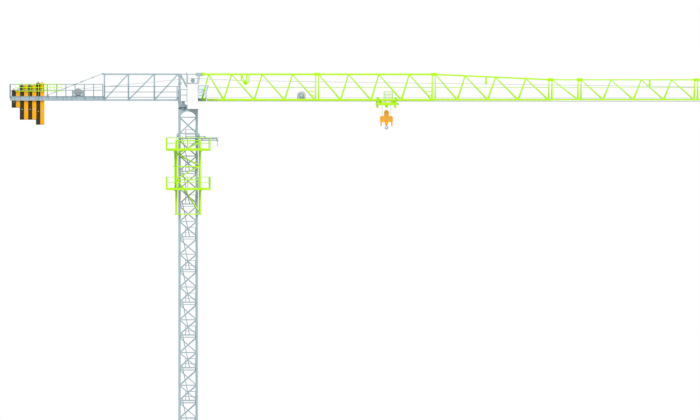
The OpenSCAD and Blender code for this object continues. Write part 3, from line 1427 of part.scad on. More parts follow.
module trolley_winch_frame() {
    foot = rail_z - chord_heavy / 2 + diag_heavy / 2 + seat + 26 + seat;
    y = trolley_drum_half + 4 + 9;
    color(STEEL) {
        for (s = [-1, 1]) wall_panel(s * y, 18) difference() {
            union() {
                translate([trolley_winch_x - 180, foot]) square([360, 40]);
                polygon([[trolley_winch_x - 120, foot], [trolley_winch_x + 120, foot],
                         [trolley_winch_x + 50, trolley_winch_z + 40], [trolley_winch_x - 50, trolley_winch_z + 40]]);
            }
            translate([trolley_winch_x, trolley_winch_z]) circle(r = drum_shaft_r + shaft_clear);
        }
        for (x = [-165, 165])
            block([trolley_winch_x + x - 15, -y, foot], [trolley_winch_x + x + 15, y, foot + 24]);
        translate([trolley_winch_x, -y - 9 - seat, trolley_winch_z]) rotate([90, 0, 0]) cylinder(r = 84, h = 70);
    }
}

module trolley_drum() {
    half = trolley_drum_half;
    color(STEEL) translate([trolley_winch_x, 0, trolley_winch_z]) rotate([90, 0, 0]) rotate_extrude()
        polygon([[0, -half - 22], [drum_shaft_r, -half - 22], [drum_shaft_r, -half],
                 [trolley_drum_r + 36, -half], [trolley_drum_r + 36, -half + 12],
                 [trolley_drum_r, -half + 12], [trolley_drum_r, half - 12], [trolley_drum_r + 36, half - 12],
                 [trolley_drum_r + 36, half], [drum_shaft_r, half], [drum_shaft_r, half + 22], [0, half + 22]]);
}

// Trolley
post_y = jib_w / 2 + chord_heavy / 2 + trolley_gap + trolley_bar / 2;
wheel_z = rail_z + seat + wheel_r;
wheel_y = jib_w / 2 + chord_heavy / 2 - 5 - wheel_w / 2;
trolley_axle_r = 11;

module trolley_frame() {
    half = trolley_span / 2;
    cross_x = half + trolley_bar / 2 + 22;
    beam_z = low_z - trolley_drop;
    plate_y = sheave_w / 2 + 3 + 6;
    color(LIME) translate([trolley_x, 0, 0]) {
        difference() {
            union() {
                for (s = [-1, 1]) {
                    for (x = [-half, half])
                        block([x - trolley_bar / 2, s * post_y - trolley_bar / 2, low_z - 344],
                              [x + trolley_bar / 2, s * post_y + trolley_bar / 2, wheel_z + wheel_r]);
                    block([-cross_x - 18, s * post_y - trolley_bar / 2, beam_z - 47],
                          [cross_x + 18, s * post_y + trolley_bar / 2, beam_z + 47]);
                }
                for (x = [-cross_x, cross_x])
                    block([x - 18, -post_y, beam_z - 40], [x + 18, post_y, beam_z + 40]);
                for (s = [-1, 1]) wall_panel(s * plate_y, 12)
                    polygon([[-cross_x, trolley_axle_z - 36], [-70, trolley_axle_z - 36],
                             [-52, beam_z - 148], [64, beam_z - 148], [82, trolley_axle_z - 36],
                             [cross_x, trolley_axle_z - 36], [cross_x, trolley_axle_z + 34],
                             [-cross_x, trolley_axle_z + 34]]);
                for (x = [-1, 1]) translate([x * trolley_sheave_span / 2, 0, trolley_axle_z]) rotate([90, 0, 0])
                    cylinder(r = 18, h = 2 * plate_y + 20, center = true);
                translate([6, 0, beam_z - 110]) rotate([90, 0, 0])
                    cylinder(r = 20, h = 2 * plate_y, center = true);
                for (x = [-1, 1])
                    block([x * (cross_x + 8) - 8, loop_y - 14, beam_z], [x * (cross_x + 8) + 8, loop_y + 14,
                           loop_low - loop_rope_r - seat]);
            }
            for (x = [-half, half]) translate([x, 0, wheel_z]) rotate([90, 0, 0])
                cylinder(r = trolley_axle_r + shaft_clear, h = 2 * post_y + trolley_bar + 2, center = true);
        }
        for (s = [-1, 1]) translate([cross_x + 18 + seat, s * 240, beam_z]) rotate([0, 90, 0])
            cylinder(r = 40, h = 58);
    }
}

module trolley_wheels() {
    half = trolley_span / 2;
    color(DARK_STEEL) for (x = [-half, half], s = [-1, 1])
        translate([trolley_x + x, 0, wheel_z]) rotate([90 * s, 0, 0]) translate([0, 0, -post_y]) {
            translate([0, 0, post_y - wheel_y - wheel_w / 2]) cylinder(r = wheel_r, h = wheel_w);
            translate([0, 0, -trolley_bar / 2 - 14])
                cylinder(r = trolley_axle_r, h = post_y - wheel_y + trolley_bar / 2 + 14);
            translate([0, 0, -trolley_bar / 2 - 14 - seat]) cylinder(r = 20, h = 13);
        }
}

fall_x = trolley_sheave_span / 2 - sheave_r - rope_r - seat;
module trolley_sheaves() {
    bend = sheave_r + rope_r + seat;
    for (s = [-1, 1]) translate([trolley_x + s * trolley_sheave_span / 2, 0, trolley_axle_z]) {
        color(GREY) sheave(sheave_r, sheave_w, 18 + seat);
        color(CONCRETE) rope_arc([0, 0, 0], bend, s > 0 ? 125 : 0, 55, rope_r);
    }
}

module trolley_basket() {
    y0 = post_y + trolley_bar / 2 + 12;
    x0 = trolley_x - 79;
    floor_z = low_z - 15;
    t = 14;
    color(LIME) {
        block([x0, y0, floor_z - 8], [x0 + basket_l, y0 + basket_w, floor_z]);
        for (x = [x0, x0 + basket_l - t], y = [y0, y0 + basket_w - t])
            block([x, y, floor_z - 1], [x + t, y + t, floor_z + basket_h]);
        for (z = [0.3, 0.63, 1]) {
            for (y = [y0, y0 + basket_w - t])
                block([x0, y, floor_z + basket_h * z - t], [x0 + basket_l, y + t, floor_z + basket_h * z]);
            for (x = [x0, x0 + basket_l - t])
                block([x, y0, floor_z + basket_h * z - t], [x + t, y0 + basket_w, floor_z + basket_h * z]);
        }
        for (x = [x0 + 40, x0 + basket_l - 70]) {
            block([x, y0, low_z - trolley_drop - 30], [x + 30, y0 + 30, floor_z - 7]);
            block([x, post_y + trolley_bar / 2 + seat, low_z - trolley_drop - 30],
                  [x + 30, y0 + 1, low_z - trolley_drop + 30]);
        }
    }
}

// Hook block
block_axle_z = trolley_axle_z - block_drop;
block_sheave_r = 66;
block_sheave_x = fall_x - block_sheave_r - rope_r - seat;
block_low = block_axle_z - block_h / 2;
neck_top = block_axle_z + block_h / 2 + block_neck_h;
block_plate_y = sheave_w / 2 + 3 + block_plate_t / 2;
block_axle_r = 20;
housing_top = block_low + 24;
housing_low = block_low - crosshead_h - 36;

module block_plate() {
    half = block_w / 2;
    difference() {
        union() {
            translate([0, neck_top - block_neck_w / 2]) circle(r = block_neck_w / 2);
            translate([-block_neck_w / 2, block_axle_z]) square([block_neck_w, neck_top - block_neck_w / 2 - block_axle_z]);
            polygon([[-half + 24, block_low], [half - 24, block_low], [half, block_low + 24],
                     [half, block_low + block_h - 50], [half - 50, block_low + block_h],
                     [50 - half, block_low + block_h], [-half, block_low + block_h - 50], [-half, block_low + 24]]);
            for (s = [-1, 1]) translate([s * (half - 48) - guard_w / 2, block_low - guard_h])
                square([guard_w, guard_h + 20]);
        }
        translate([0, neck_top - block_neck_w / 2]) circle(r = 26);
    }
}

module hook_block_plates() {
    spacers = [[0, block_axle_z + block_h / 2 + 20], [block_w / 2 - 40, block_axle_z + 60],
               [40 - block_w / 2, block_axle_z + 60]];
    wide = 2 * block_plate_y + block_plate_t + 16;
    color(YELLOW) translate([trolley_x, 0, 0]) difference() {
        union() {
            for (s = [-1, 1]) wall_panel(s * block_plate_y, block_plate_t) block_plate();
            for (p = spacers) translate([p[0], 0, p[1]]) rotate([90, 0, 0])
                cylinder(r = 15, h = wide, center = true);
            for (s = [-1, 1]) translate([s * block_sheave_x, 0, block_axle_z]) rotate([90, 0, 0])
                cylinder(r = block_axle_r, h = wide, center = true);
            block([-crosshead_w / 2, -56, housing_low], [crosshead_w / 2, 56, housing_top]);
        }
        translate([0, 0, housing_low - 1]) cylinder(r = shank_r + shaft_clear, h = 62);
        translate([0, 0, housing_low + 60]) cylinder(r = 38, h = 40);
    }
}

module hook_block_sheaves() {
    bend = block_sheave_r + rope_r + seat;
    translate([trolley_x, 0, block_axle_z]) {
        color(GREY) for (s = [-1, 1]) translate([s * block_sheave_x, 0, 0])
            sheave(block_sheave_r, sheave_w, block_axle_r + seat);
        color(CONCRETE) {
            for (s = [-1, 1]) rope_arc([s * block_sheave_x, 0, 0], bend, s > 0 ? -90 : 180, 90, rope_r);
            rod([-block_sheave_x, 0, -bend], [block_sheave_x, 0, -bend], rope_r);
        }
    }
}

module hoist_falls() {
    color(CONCRETE) for (s = [-1, 1])
        rod([trolley_x + s * fall_x, 0, block_axle_z], [trolley_x + s * fall_x, 0, trolley_axle_z], rope_r);
}

module hook() {
    bow_z = housing_low - 48 - hook_bow_r;
    tip_a = 160;
    color(GREY) translate([trolley_x, 0, 0]) {
        translate([0, 0, bow_z + hook_bow_r]) cylinder(r = shank_r, h = housing_low + 62 - bow_z - hook_bow_r);
        translate([0, 0, housing_low + 60 + seat]) cylinder(r = 34, h = 34);
        translate([0, 0, bow_z]) rotate([90, 0, 0]) rotate(tip_a) rotate_extrude(angle = 290)
            translate([hook_bow_r, 0]) circle(r = hook_bar_r);
        translate([0, 0, bow_z]) rotate([90, 0, 0]) rotate(tip_a) translate([hook_bow_r, 0, 0])
            rotate([90, 0, 0]) cylinder(r1 = hook_bar_r, r2 = hook_bar_r * 0.45, h = 30);
    }
}

base_frame();
for (i = [1:mast_sections]) mast_section(i);
mast_ladders();
mast_platforms();
slewing_support();
slewing_ring();
feed_beams();
cage_frame();
cage_decks();
cage_railings();
cage_rollers();
jacking_cylinder();
jacking_yoke();
turret_base();
slewing_drive();
slewing_pinion();
tower_head();
tower_platforms();
cab_shell();
cab_glazing();
counter_jib_truss();
rear_deck();
counter_jib_railings();
tie_bars();
hoist_winch_frame();
hoist_drum();
counterweights_dark();
counterweights_yellow();
sign_frame();
for (i = [1:5]) jib_section(i);
jib_tip();
jib_walkway();
rope_brackets();
trolley_winch_frame();
trolley_drum();
hoist_rope();
trolley_rope();
trolley_frame();
trolley_wheels();
trolley_sheaves();
trolley_basket();
hook_block_plates();
hook_block_sheaves();
hoist_falls();
hook();
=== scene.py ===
"""Finishes and small fittings of a flat-top tower crane with a climbing cage, at 1:2, in metres."""

import json
import logging
import math
from collections.abc import Callable, Iterator, Sequence
from contextlib import contextmanager
from dataclasses import dataclass, field
from enum import Enum

import bpy
import numpy as np
from mathutils import Matrix, Vector

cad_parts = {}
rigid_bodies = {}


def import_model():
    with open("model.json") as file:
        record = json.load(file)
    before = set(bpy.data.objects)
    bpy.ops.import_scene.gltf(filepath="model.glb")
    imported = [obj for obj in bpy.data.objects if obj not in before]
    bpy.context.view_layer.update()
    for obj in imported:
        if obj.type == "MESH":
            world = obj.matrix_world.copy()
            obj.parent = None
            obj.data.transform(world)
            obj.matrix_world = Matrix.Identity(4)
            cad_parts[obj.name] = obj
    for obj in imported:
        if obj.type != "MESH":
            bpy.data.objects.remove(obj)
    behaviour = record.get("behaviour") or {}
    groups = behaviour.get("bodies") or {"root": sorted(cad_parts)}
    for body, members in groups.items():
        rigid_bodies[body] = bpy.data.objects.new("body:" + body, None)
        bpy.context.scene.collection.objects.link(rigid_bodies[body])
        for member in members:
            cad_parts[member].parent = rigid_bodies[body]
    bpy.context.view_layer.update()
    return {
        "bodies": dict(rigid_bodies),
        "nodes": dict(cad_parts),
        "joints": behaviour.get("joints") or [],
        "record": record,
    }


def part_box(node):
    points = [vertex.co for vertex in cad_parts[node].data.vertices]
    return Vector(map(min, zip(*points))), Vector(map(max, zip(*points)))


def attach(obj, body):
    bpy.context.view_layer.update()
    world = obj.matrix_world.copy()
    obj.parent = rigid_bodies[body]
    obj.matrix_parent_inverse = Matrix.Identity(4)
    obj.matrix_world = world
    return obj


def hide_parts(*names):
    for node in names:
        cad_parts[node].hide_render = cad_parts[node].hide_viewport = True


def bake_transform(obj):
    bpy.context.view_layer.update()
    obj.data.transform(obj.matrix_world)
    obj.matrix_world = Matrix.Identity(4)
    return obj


LOG = logging.getLogger("tower_crane")
# short names for the types that most functions pass on
Thing, Material = bpy.types.Object, bpy.types.Material
Tree, Socket = bpy.types.NodeTree, bpy.types.NodeSocket
Point = Sequence[float]
Pair = tuple[float, float]
# a millimetre, in metres
MM = 0.001
UP, DOWN, AHEAD = (0, 0, 1), (0, 0, -1), (0, 1, 0)
SIDES = (-1, 1)
CORNERS = [(a, b) for a in SIDES for b in SIDES]
# turns that lay an upright disc's axis along X or along Y
ACROSS_X = (0, math.pi / 2, 0)
ACROSS_Y = (math.pi / 2, 0, 0)
# share of a unit normal along an axis from which a face counts as looking that way
FACING = 0.9
# a length that counts as nothing
TINY = 1e-6
# thickness of a motor's cooling fin, in metres
FIN_T = 0.004
# sockets of a Mix node that hold colours
MIX_A, MIX_B, MIX_RESULT = 6, 7, 2


# Finishes


def linear(hex_colour: str) -> tuple[float, float, float, float]:
    """Turns an sRGB hex colour into the linear colour that a shader socket takes.

    Args:
        hex_colour: Six hex digits, with or without a leading mark.

    Returns:
        Red, green, blue and alpha, each from 0 to 1.
    """
    digits = hex_colour.lstrip("#")
    parts = [int(digits[i : i + 2], 16) / 255 for i in (0, 2, 4)]
    curve = [c / 12.92 if c <= 0.04045 else ((c + 0.055) / 1.055) ** 2.4 for c in parts]
    return (*curve, 1.0)


def add_node(
    tree: Tree,
    kind: str,
    settings: dict[str | int, object] | None = None,
    links: dict[str | int, Socket] | None = None,
) -> bpy.types.Node:
    """Adds one shader node with its settings and its incoming links.

    Args:
        tree: The material's node tree.
        kind: Blender's name of the node type, without ShaderNode at its start.
        settings: Values by socket name, socket number or property name.
        links: Output sockets by the name or number of the socket that they feed.

    Returns:
        The new node.
    """
    node = tree.nodes.new("ShaderNode" + kind)
    for key, value in (settings or {}).items():
        if isinstance(key, int) or key in node.inputs:
            node.inputs[key].default_value = value
        else:
            setattr(node, key, value)
    for key, socket in (links or {}).items():
        tree.links.new(socket, node.inputs[key])
    return node


def new_material(name: str) -> tuple[Material, Tree]:
    """Makes a material with an empty node tree.

    Args:
        name: Its name.

    Returns:
        The material and its node tree.
    """
    material = bpy.data.materials.new(name)
    material.use_nodes = True
    material.node_tree.nodes.clear()
    return material, material.node_tree


class Relief(Enum):
    """How a surface was formed, which decides its pattern in relief."""

    SPRAYED = "sprayed enamel"
    CHEQUER = "rolled chequer plate"
    GRATING = "pressed grating"
    CAST = "cast in a mould"
    STRANDED = "laid wire strands"
    FORGED = "forged and worn"


# reliefs whose hollows are darker than their ribs
RIBBED = (Relief.CHEQUER, Relief.GRATING, Relief.STRANDED)


@dataclass(frozen=True)
class Finish:
    """One finish, with its colours and the real sizes of its patterns.

    Args:
        name: The finish, in a maker's words.
        colour: Main sRGB colour.
        shade: sRGB colour of the darker or dustier patches.
        relief: How the surface was formed.
        roughness: Middle roughness.
        metallic: 1 on bare metal and 0 on paint.
        coat: Weight of a clear top layer.
        gloss: How strongly the paint mirrors its surroundings, 0.5 for a hard clear surface.
        patch_mm: Size of the slow changes of colour.
        grain_mm: Size of the finest relief.
        depth_mm: Height of the relief.
        dust: How strongly the shade shows, from 0 to 1.
        head_colour: sRGB colour of what stands behind the jib's root, if it differs.
    """

    name: str
    colour: str
    shade: str
    relief: Relief = Relief.SPRAYED
    roughness: float = 0.45
    metallic: float = 0.0
    coat: float = 0.04
    gloss: float = 0.22
    patch_mm: float = 420.0
    grain_mm: float = 9.0
    depth_mm: float = 0.25
    dust: float = 0.3
    head_colour: str = ""

    @staticmethod
    def on_top(tree: Tree, relief: Socket) -> Socket:
        """Keeps a rolled pattern to the faces that look up, and leaves the edges and undersides flat.

        Args:
            tree: The material's node tree.
            relief: The pattern, from 0 to 1.

        Returns:
            The pattern with 1 on every face that doesn't look up.
        """
        normal = add_node(tree, "NewGeometry").outputs["True Normal"]
        up = add_node(tree, "SeparateXYZ", {}, {"Vector": normal}).outputs["Z"]
        flat = add_node(tree, "Math", {"operation": "LESS_THAN", 1: FACING}, {0: up}).outputs["Value"]
        kept = add_node(tree, "Math", {"operation": "MAXIMUM"}, {0: relief, 1: flat})
        return kept.outputs["Value"]

    def height(self, tree: Tree, place: Socket) -> Socket:
        """Builds the relief that the surface's making gave it.

        Args:
            tree: The material's node tree.
            place: Object coordinates, in metres.

        Returns:
            The socket with the relief, from 0 to 1.
        """
        grain = 1 / (self.grain_mm * MM)
        if self.relief is Relief.CHEQUER:
            # ribs rolled in two directions, drawn 23 mm apart so that they show
            ribs = []
            for turn in (0.0, math.pi / 2):
                turned = add_node(tree, "Mapping", {"Rotation": (0, 0, turn)}, {"Vector": place})
                bands = {"Scale": grain / 4, "bands_direction": "DIAGONAL"}
                wave = add_node(tree, "TexWave", bands, {"Vector": turned.outputs["Vector"]})
                ribs.append(wave.outputs["Fac"])
            lozenges = add_node(tree, "Math", {"operation": "MULTIPLY"}, dict(enumerate(ribs)))
            return self.on_top(tree, lozenges.outputs["Value"])
        if self.relief is Relief.GRATING:
            # serrated bars across the walkway, drawn 28 mm apart so that they show
            bands = {"Scale": grain / 10, "bands_direction": "X"}
            bars = add_node(tree, "TexWave", bands, {"Vector": place})
            return self.on_top(tree, bars.outputs["Fac"])
        if self.relief is Relief.STRANDED:
            # strands that slant across the rope, 15 mm apart along it
            bands = {"Scale": grain / 3, "bands_direction": "DIAGONAL"}
            return add_node(tree, "TexWave", bands, {"Vector": place}).outputs["Fac"]
        if self.relief is Relief.CAST:
            # air holes that the mould leaves
            cells = add_node(tree, "TexVoronoi", {"Scale": grain / 3}, {"Vector": place})
            rims = {"From Min": 0.05, "From Max": 0.22}
            holes = add_node(tree, "MapRange", rims, {"Value": cells.outputs["Distance"]})
            return holes.outputs["Result"]
        grains = {"Scale": grain, "Detail": 3.0 if self.relief is Relief.FORGED else 1.0}
        return add_node(tree, "TexNoise", grains, {"Vector": place}).outputs["Fac"]

    def tint(self, tree: Tree, place: Socket, runs: Socket, relief: Socket) -> Socket:
        """Mixes the finish's colours by dust, by relief and by what carries the piece.

        Args:
            tree: The material's node tree.
            place: Object coordinates, in metres.
            runs: Where rain has drawn the dust out.
            relief: The relief, from 0 to 1.

        Returns:
            The socket with the surface's colour.
        """
        slow = {"Scale": 1 / (self.patch_mm * MM), "Detail": 4.0, "Roughness": 0.6}
        patches = add_node(tree, "TexNoise", slow, {"Vector": place}).outputs["Fac"]
        weather = add_node(tree, "Math", {"operation": "MULTIPLY"}, {0: patches, 1: runs})
        spread = {"From Min": 0.18, "From Max": 0.46, "To Min": 0.0, "To Max": self.dust}
        dusty = add_node(tree, "MapRange", spread, {"Value": weather.outputs["Value"]})
        pair = {"data_type": "RGBA", MIX_A: linear(self.colour), MIX_B: linear(self.shade)}
        tint = add_node(tree, "Mix", pair, {0: dusty.outputs["Result"]}).outputs[MIX_RESULT]
        if self.relief in RIBBED:
            hollows = {"From Min": 0.5, "From Max": 0.1, "To Min": 0.0, "To Max": 0.5}
            lows = add_node(tree, "MapRange", hollows, {"Value": relief}).outputs["Result"]
            dark = {"data_type": "RGBA", MIX_B: linear(self.shade)}
            tint = add_node(tree, "Mix", dark, {0: lows, MIX_A: tint}).outputs[MIX_RESULT]
        if self.head_colour:
            # what is bolted to the tower head is painted with it
            along = add_node(tree, "SeparateXYZ", {}, {"Vector": place}).outputs["X"]
            behind = {"operation": "LESS_THAN", 1: PLAN.jib_start - PLAN.root_gap}
            head = add_node(tree, "Math", behind, {0: along}).outputs["Value"]
            other = {"data_type": "RGBA", MIX_B: linear(self.head_colour)}
            tint = add_node(tree, "Mix", other, {0: head, MIX_A: tint}).outputs[MIX_RESULT]
        return tint

    def build(self) -> Material:
        """Makes the material.

        Returns:
            A material with colour, roughness and relief from its nodes.
        """
        material, tree = new_material(self.name)
        place = add_node(tree, "TexCoord").outputs["Object"]
        # rain draws the dust out into runs, six times as tall as they are wide
        stretched = add_node(tree, "Mapping", {"Scale": (1.0, 1.0, 1 / 6)}, {"Vector": place})
        streaks = {"Scale": 6 / (self.patch_mm * MM), "Detail": 2.0}
        runs = add_node(tree, "TexNoise", streaks, {"Vector": stretched.outputs["Vector"]}).outputs["Fac"]
        relief = self.height(tree, place)
        gloss = {"To Min": max(self.roughness - 0.08, 0.03), "To Max": min(self.roughness + 0.1, 1.0)}
        rough = add_node(tree, "MapRange", gloss, {"Value": runs})
        depth = {"Strength": 0.6, "Distance": self.depth_mm * MM}
        bump = add_node(tree, "Bump", depth, {"Height": relief})
        shader = add_node(
            tree,
            "BsdfPrincipled",
            {
                "Metallic": self.metallic,
                "Specular IOR Level": 0.5 if self.metallic else self.gloss,
                "Coat Weight": self.coat,
                "Coat Roughness": 0.25,
            },
            {
                "Base Color": self.tint(tree, place, runs, relief),
                "Roughness": rough.outputs["Result"],
                "Normal": bump.outputs["Normal"],
            },
        )
        add_node(tree, "OutputMaterial", {}, {"Surface": shader.outputs["BSDF"]})
        return material


@dataclass(frozen=True)
class SafetyGlass:
    """Toughened glass of the cab, clear with a cold tint.

    Args:
        name: The finish, in a maker's words.
        colour: sRGB tint of the light that passes.
        clear: Share of the light that passes straight on at least.
        film: How much that share grows across the film's patches.
        film_mm: Size of the film's patches.
    """

    name: str = "toughened_cab_glass"
    colour: str = "#F9FDFD"
    clear: float = 0.9
    film: float = 0.08
    film_mm: float = 200.0

    def build(self) -> Material:
        """Makes the glass, with a film of dust that dulls its gloss in patches.

        Returns:
            A material that lets the tower head show through the cab.
        """
        material, tree = new_material(self.name)
        place = add_node(tree, "TexCoord").outputs["Object"]
        patches = {"Scale": 1 / (self.film_mm * MM), "Detail": 5.0}
        film = add_node(tree, "TexNoise", patches, {"Vector": place}).outputs["Fac"]
        rough = add_node(tree, "MapRange", {"To Min": 0.02, "To Max": 0.12}, {"Value": film})
        solid = {"Base Color": linear(self.colour), "IOR": 1.52, "Transmission Weight": 1.0}
        pane = add_node(tree, "BsdfPrincipled", solid, {"Roughness": rough.outputs["Result"]})
        through = add_node(tree, "BsdfTransparent", {"Color": linear(self.colour)})
        straight = {"To Min": self.clear, "To Max": self.clear + self.film}
        share = add_node(tree, "MapRange", straight, {"Value": film})
        mixed = add_node(
            tree,
            "MixShader",
            {},
            {0: share.outputs["Result"], 1: pane.outputs["BSDF"], 2: through.outputs["BSDF"]},
        )
        add_node(tree, "OutputMaterial", {}, {"Surface": mixed.outputs["Shader"]})
        return material


class Slot(Enum):
    """The record's material slots."""

    STEEL = "steel_grey"
    DARK = "steel_dark"
    LIME = "lime_paint"
    YELLOW = "yellow_paint"
    SLAB = "slab_paint"
    WHITE = "white_paint"
    WINCH = "winch_grey"
    GLASS = "cab_glass"
    ROPE = "rope_wire"


class Coat(Enum):
    """Every finish of the crane, with the slot that it belongs to."""

    # two-pack enamel sprayed over blasted steel: even, with a soft gloss and dust in its runs
    LIME = (Finish("sprayed_lime_enamel", "#BCF800", "#A2CE12"), Slot.LIME)
    # brackets that carry the hoist rope, sprayed with what they are bolted to
    BRACKET = (
        Finish("sprayed_enamel_of_rope_brackets", "#BCF800", "#A2CE12", head_colour="#A9BDC5"),
        Slot.LIME,
    )
    # the same enamel on plate underfoot, where boots dull it sooner
    LIME_PLATE = (
        Finish("lime_enamel_on_chequer_plate", "#B9F508", "#97C62A", Relief.CHEQUER, 0.5, depth_mm=1.2),
        Slot.LIME,
    )
    # walkway grating, dipped and then sprayed, with dark gaps between its bars
    GRATING = (
        Finish("dull_grey_enamel_on_grating", "#9DB0B8", "#6C7E86", Relief.GRATING, 0.55, depth_mm=3.0),
        Slot.DARK,
    )
    # darker batch of the mast's enamel, on drives and brackets
    DARK = (Finish("sprayed_dark_blue_grey_enamel", "#8FA4AC", "#75888F", roughness=0.5), Slot.DARK)
    # blue-grey two-pack enamel of the mast, matter than the lime
    STEEL = (Finish("sprayed_blue_grey_enamel", "#A9BDC5", "#8FA4AC", roughness=0.5), Slot.STEEL)
    # the same enamel on rolled plate underfoot, where the ribs wear bright and hold dust between them
    STEEL_PLATE = (
        Finish(
            "blue_grey_enamel_on_chequer_plate", "#A6BAC2", "#80939B", Relief.CHEQUER, 0.55, depth_mm=1.2,
        ),
        Slot.STEEL,
    )
    # the darker batch on the platforms inside the mast, duller from weather
    DARK_PLATE = (
        Finish("dull_grey_enamel_on_chequer_plate", "#93A7AF", "#6F828A", Relief.CHEQUER, 0.6, depth_mm=1.2),
        Slot.DARK,
    )
    # gear and roller steel, cut and then wiped with grease: darker, with long highlights
    GEAR = (
        Finish(
            "greased_gear_steel", "#9DAEB6", "#6C7A81", Relief.FORGED, roughness=0.42, metallic=0.45,
            coat=0.2, patch_mm=90, grain_mm=5, depth_mm=0.2, dust=0.6,
        ),
        Slot.DARK,
    )
    # concrete cast in steel moulds and brushed with masonry paint: dead matt, with air holes
    CHARCOAL_SLAB = (
        Finish(
            "charcoal_paint_on_cast_concrete", "#3B3A3A", "#2B2C30", Relief.CAST, roughness=0.85,
            coat=0, gloss=0.1, patch_mm=260, depth_mm=1.6, dust=0.6,
        ),
        Slot.SLAB,
    )
    # the same slabs in the warning colour, which shows less dust
    AMBER_SLAB = (
        Finish(
            "amber_paint_on_cast_concrete", "#FFB000", "#E39A0C", Relief.CAST, roughness=0.8,
            coat=0, gloss=0.1, patch_mm=260, depth_mm=1.6, dust=0.4,
        ),
        Slot.YELLOW,
    )
    # hook block enamel: heavy warning colour that stays glossy
    AMBER = (Finish("sprayed_amber_enamel", "#FFAE00", "#E2960A", roughness=0.4, coat=0.1), Slot.YELLOW)
    # powder coat on folded sheet: the finest orange peel, brighter than the enamels
    WHITE = (
        Finish(
            "white_powder_coat", "#F6F6F5", "#E4E6E6", roughness=0.35, coat=0.3, grain_mm=4, depth_mm=0.1,
        ),
        Slot.WHITE,
    )
    # extruded rubber round the panes: pale, with no gloss at all
    SEAL = (
        Finish("pale_rubber_glazing_seal", "#C9CCCE", "#AFB3B5", roughness=0.75, coat=0, grain_mm=3),
        Slot.WHITE,
    )
    # machine enamel brushed over castings: a rough skin under thin paint
    MACHINE = (
        Finish(
            "machine_enamel_on_cast_iron", "#B8B8B8", "#999C9D", Relief.FORGED, roughness=0.55,
            grain_mm=6, depth_mm=0.6,
        ),
        Slot.WINCH,
    )
    # zinc plate on bolts and pins: pale, slightly yellow, with a cloudy gloss
    ZINC = (
        Finish(
            "zinc_plated_fastener", "#C3C6BE", "#9B9F97", roughness=0.35, metallic=0.6, patch_mm=60,
            dust=0.5,
        ),
        Slot.WINCH,
    )
    # drop-forged alloy steel, blasted and oiled: a dull metal with soft mottling
    HOOK = (
        Finish(
            "oiled_forged_steel", "#93A6AE", "#6C7D85", Relief.FORGED, roughness=0.5, metallic=0.25,
            coat=0.1, patch_mm=70, grain_mm=7, depth_mm=0.5, dust=0.6,
        ),
        Slot.WINCH,
    )
    # galvanised wire rope: dull zinc strands with grease between them
    ROPE = (
        Finish(
            "galvanised_wire_rope", "#A3A6A6", "#5C5E5E", Relief.STRANDED, roughness=0.5, metallic=0.4,
            coat=0.1, patch_mm=80, grain_mm=8, depth_mm=2.0,
        ),
        Slot.ROPE,
    )
    # natural rubber of buffers and grips: near black, and greyer where it is dusty
    RUBBER = (
        Finish("moulded_black_rubber", "#2C2D2E", "#3A3B3C", roughness=0.85, coat=0, grain_mm=3),
        Slot.SLAB,
    )
    # toughened glass: clear, with a cold tint and a gloss that dust dulls in patches
    GLASS = (SafetyGlass(), Slot.GLASS)


# Modelling by operators


class SelectBy(Enum):
    """What a selection in edit mode holds."""

    EDGES = (False, True, False)
    FACES = (False, False, True)


def start(maker: Callable[..., set], **options: object) -> Thing:
    """Adds a primitive while nothing else is selected.

    Args:
        maker: The operator that adds the primitive.
        **options: The operator's own settings.

    Returns:
        The new object, with its place, turn and scale in its mesh.
    """
    bpy.ops.object.select_all(action="DESELECT")
    maker(**options)
    bpy.ops.object.transform_apply(location=True, rotation=True, scale=True)
    return bpy.context.active_object


@contextmanager
def editing(obj: Thing, by: SelectBy, test: Callable[[Vector, Vector], bool]) -> Iterator[None]:
    """Opens edit mode with the faces or edges selected that pass a test.

    Args:
        obj: The object to be shaped.
        by: Whether faces or edges are selected.
        test: Takes a face's or edge's middle, and its normal or direction, and says whether it is selected.
    """
    mesh = obj.data
    for items in (mesh.vertices, mesh.edges, mesh.polygons):
        items.foreach_set("select", [False] * len(items))
    if by is SelectBy.FACES:
        for face in mesh.polygons:
            face.select = test(face.center, face.normal)
    else:
        for edge in mesh.edges:
            a, b = (mesh.vertices[i].co for i in edge.vertices)
            edge.select = test((a + b) / 2, (b - a).normalized())
    bpy.ops.object.select_all(action="DESELECT")
    obj.select_set(True)
    bpy.context.view_layer.objects.active = obj
    bpy.context.tool_settings.mesh_select_mode = by.value
    bpy.ops.object.mode_set(mode="EDIT")
    yield
    bpy.ops.object.mode_set(mode="OBJECT")


def join(parts: Sequence[Thing]) -> Thing:
    """Joins objects into the first of them.

    Args:
        parts: The objects.

    Returns:
        The first of them, with the meshes of all.
    """
    bpy.ops.object.select_all(action="DESELECT")
    for part in parts:
        part.select_set(True)
    bpy.context.view_layer.objects.active = parts[0]
    bpy.ops.object.join()
    return parts[0]


def apply_modifier(obj: Thing, kind: str, **options: object) -> None:
    """Adds a modifier and applies it.

    Args:
        obj: The object that gets the modifier.
        kind: Blender's name of the modifier type.
        **options: The modifier's settings.
    """
    modifier = obj.modifiers.new(kind.lower(), kind)
    for name, value in options.items():
        setattr(modifier, name, value)
    bpy.ops.object.select_all(action="DESELECT")
    obj.select_set(True)
    bpy.context.view_layer.objects.active = obj
    bpy.ops.object.modifier_apply(modifier=modifier.name)


def bevel_all(obj: Thing, width: float, segments: int = 1) -> None:
    """Rounds every sharp edge of an object."""
    apply_modifier(obj, "BEVEL", width=width, segments=segments, limit_method="ANGLE")


def add_block(middle: Point, size: Point = (1, 1, 1)) -> Thing:
    """Adds a block of a size about its middle."""
    return start(bpy.ops.mesh.primitive_cube_add, size=1, location=middle, scale=size)


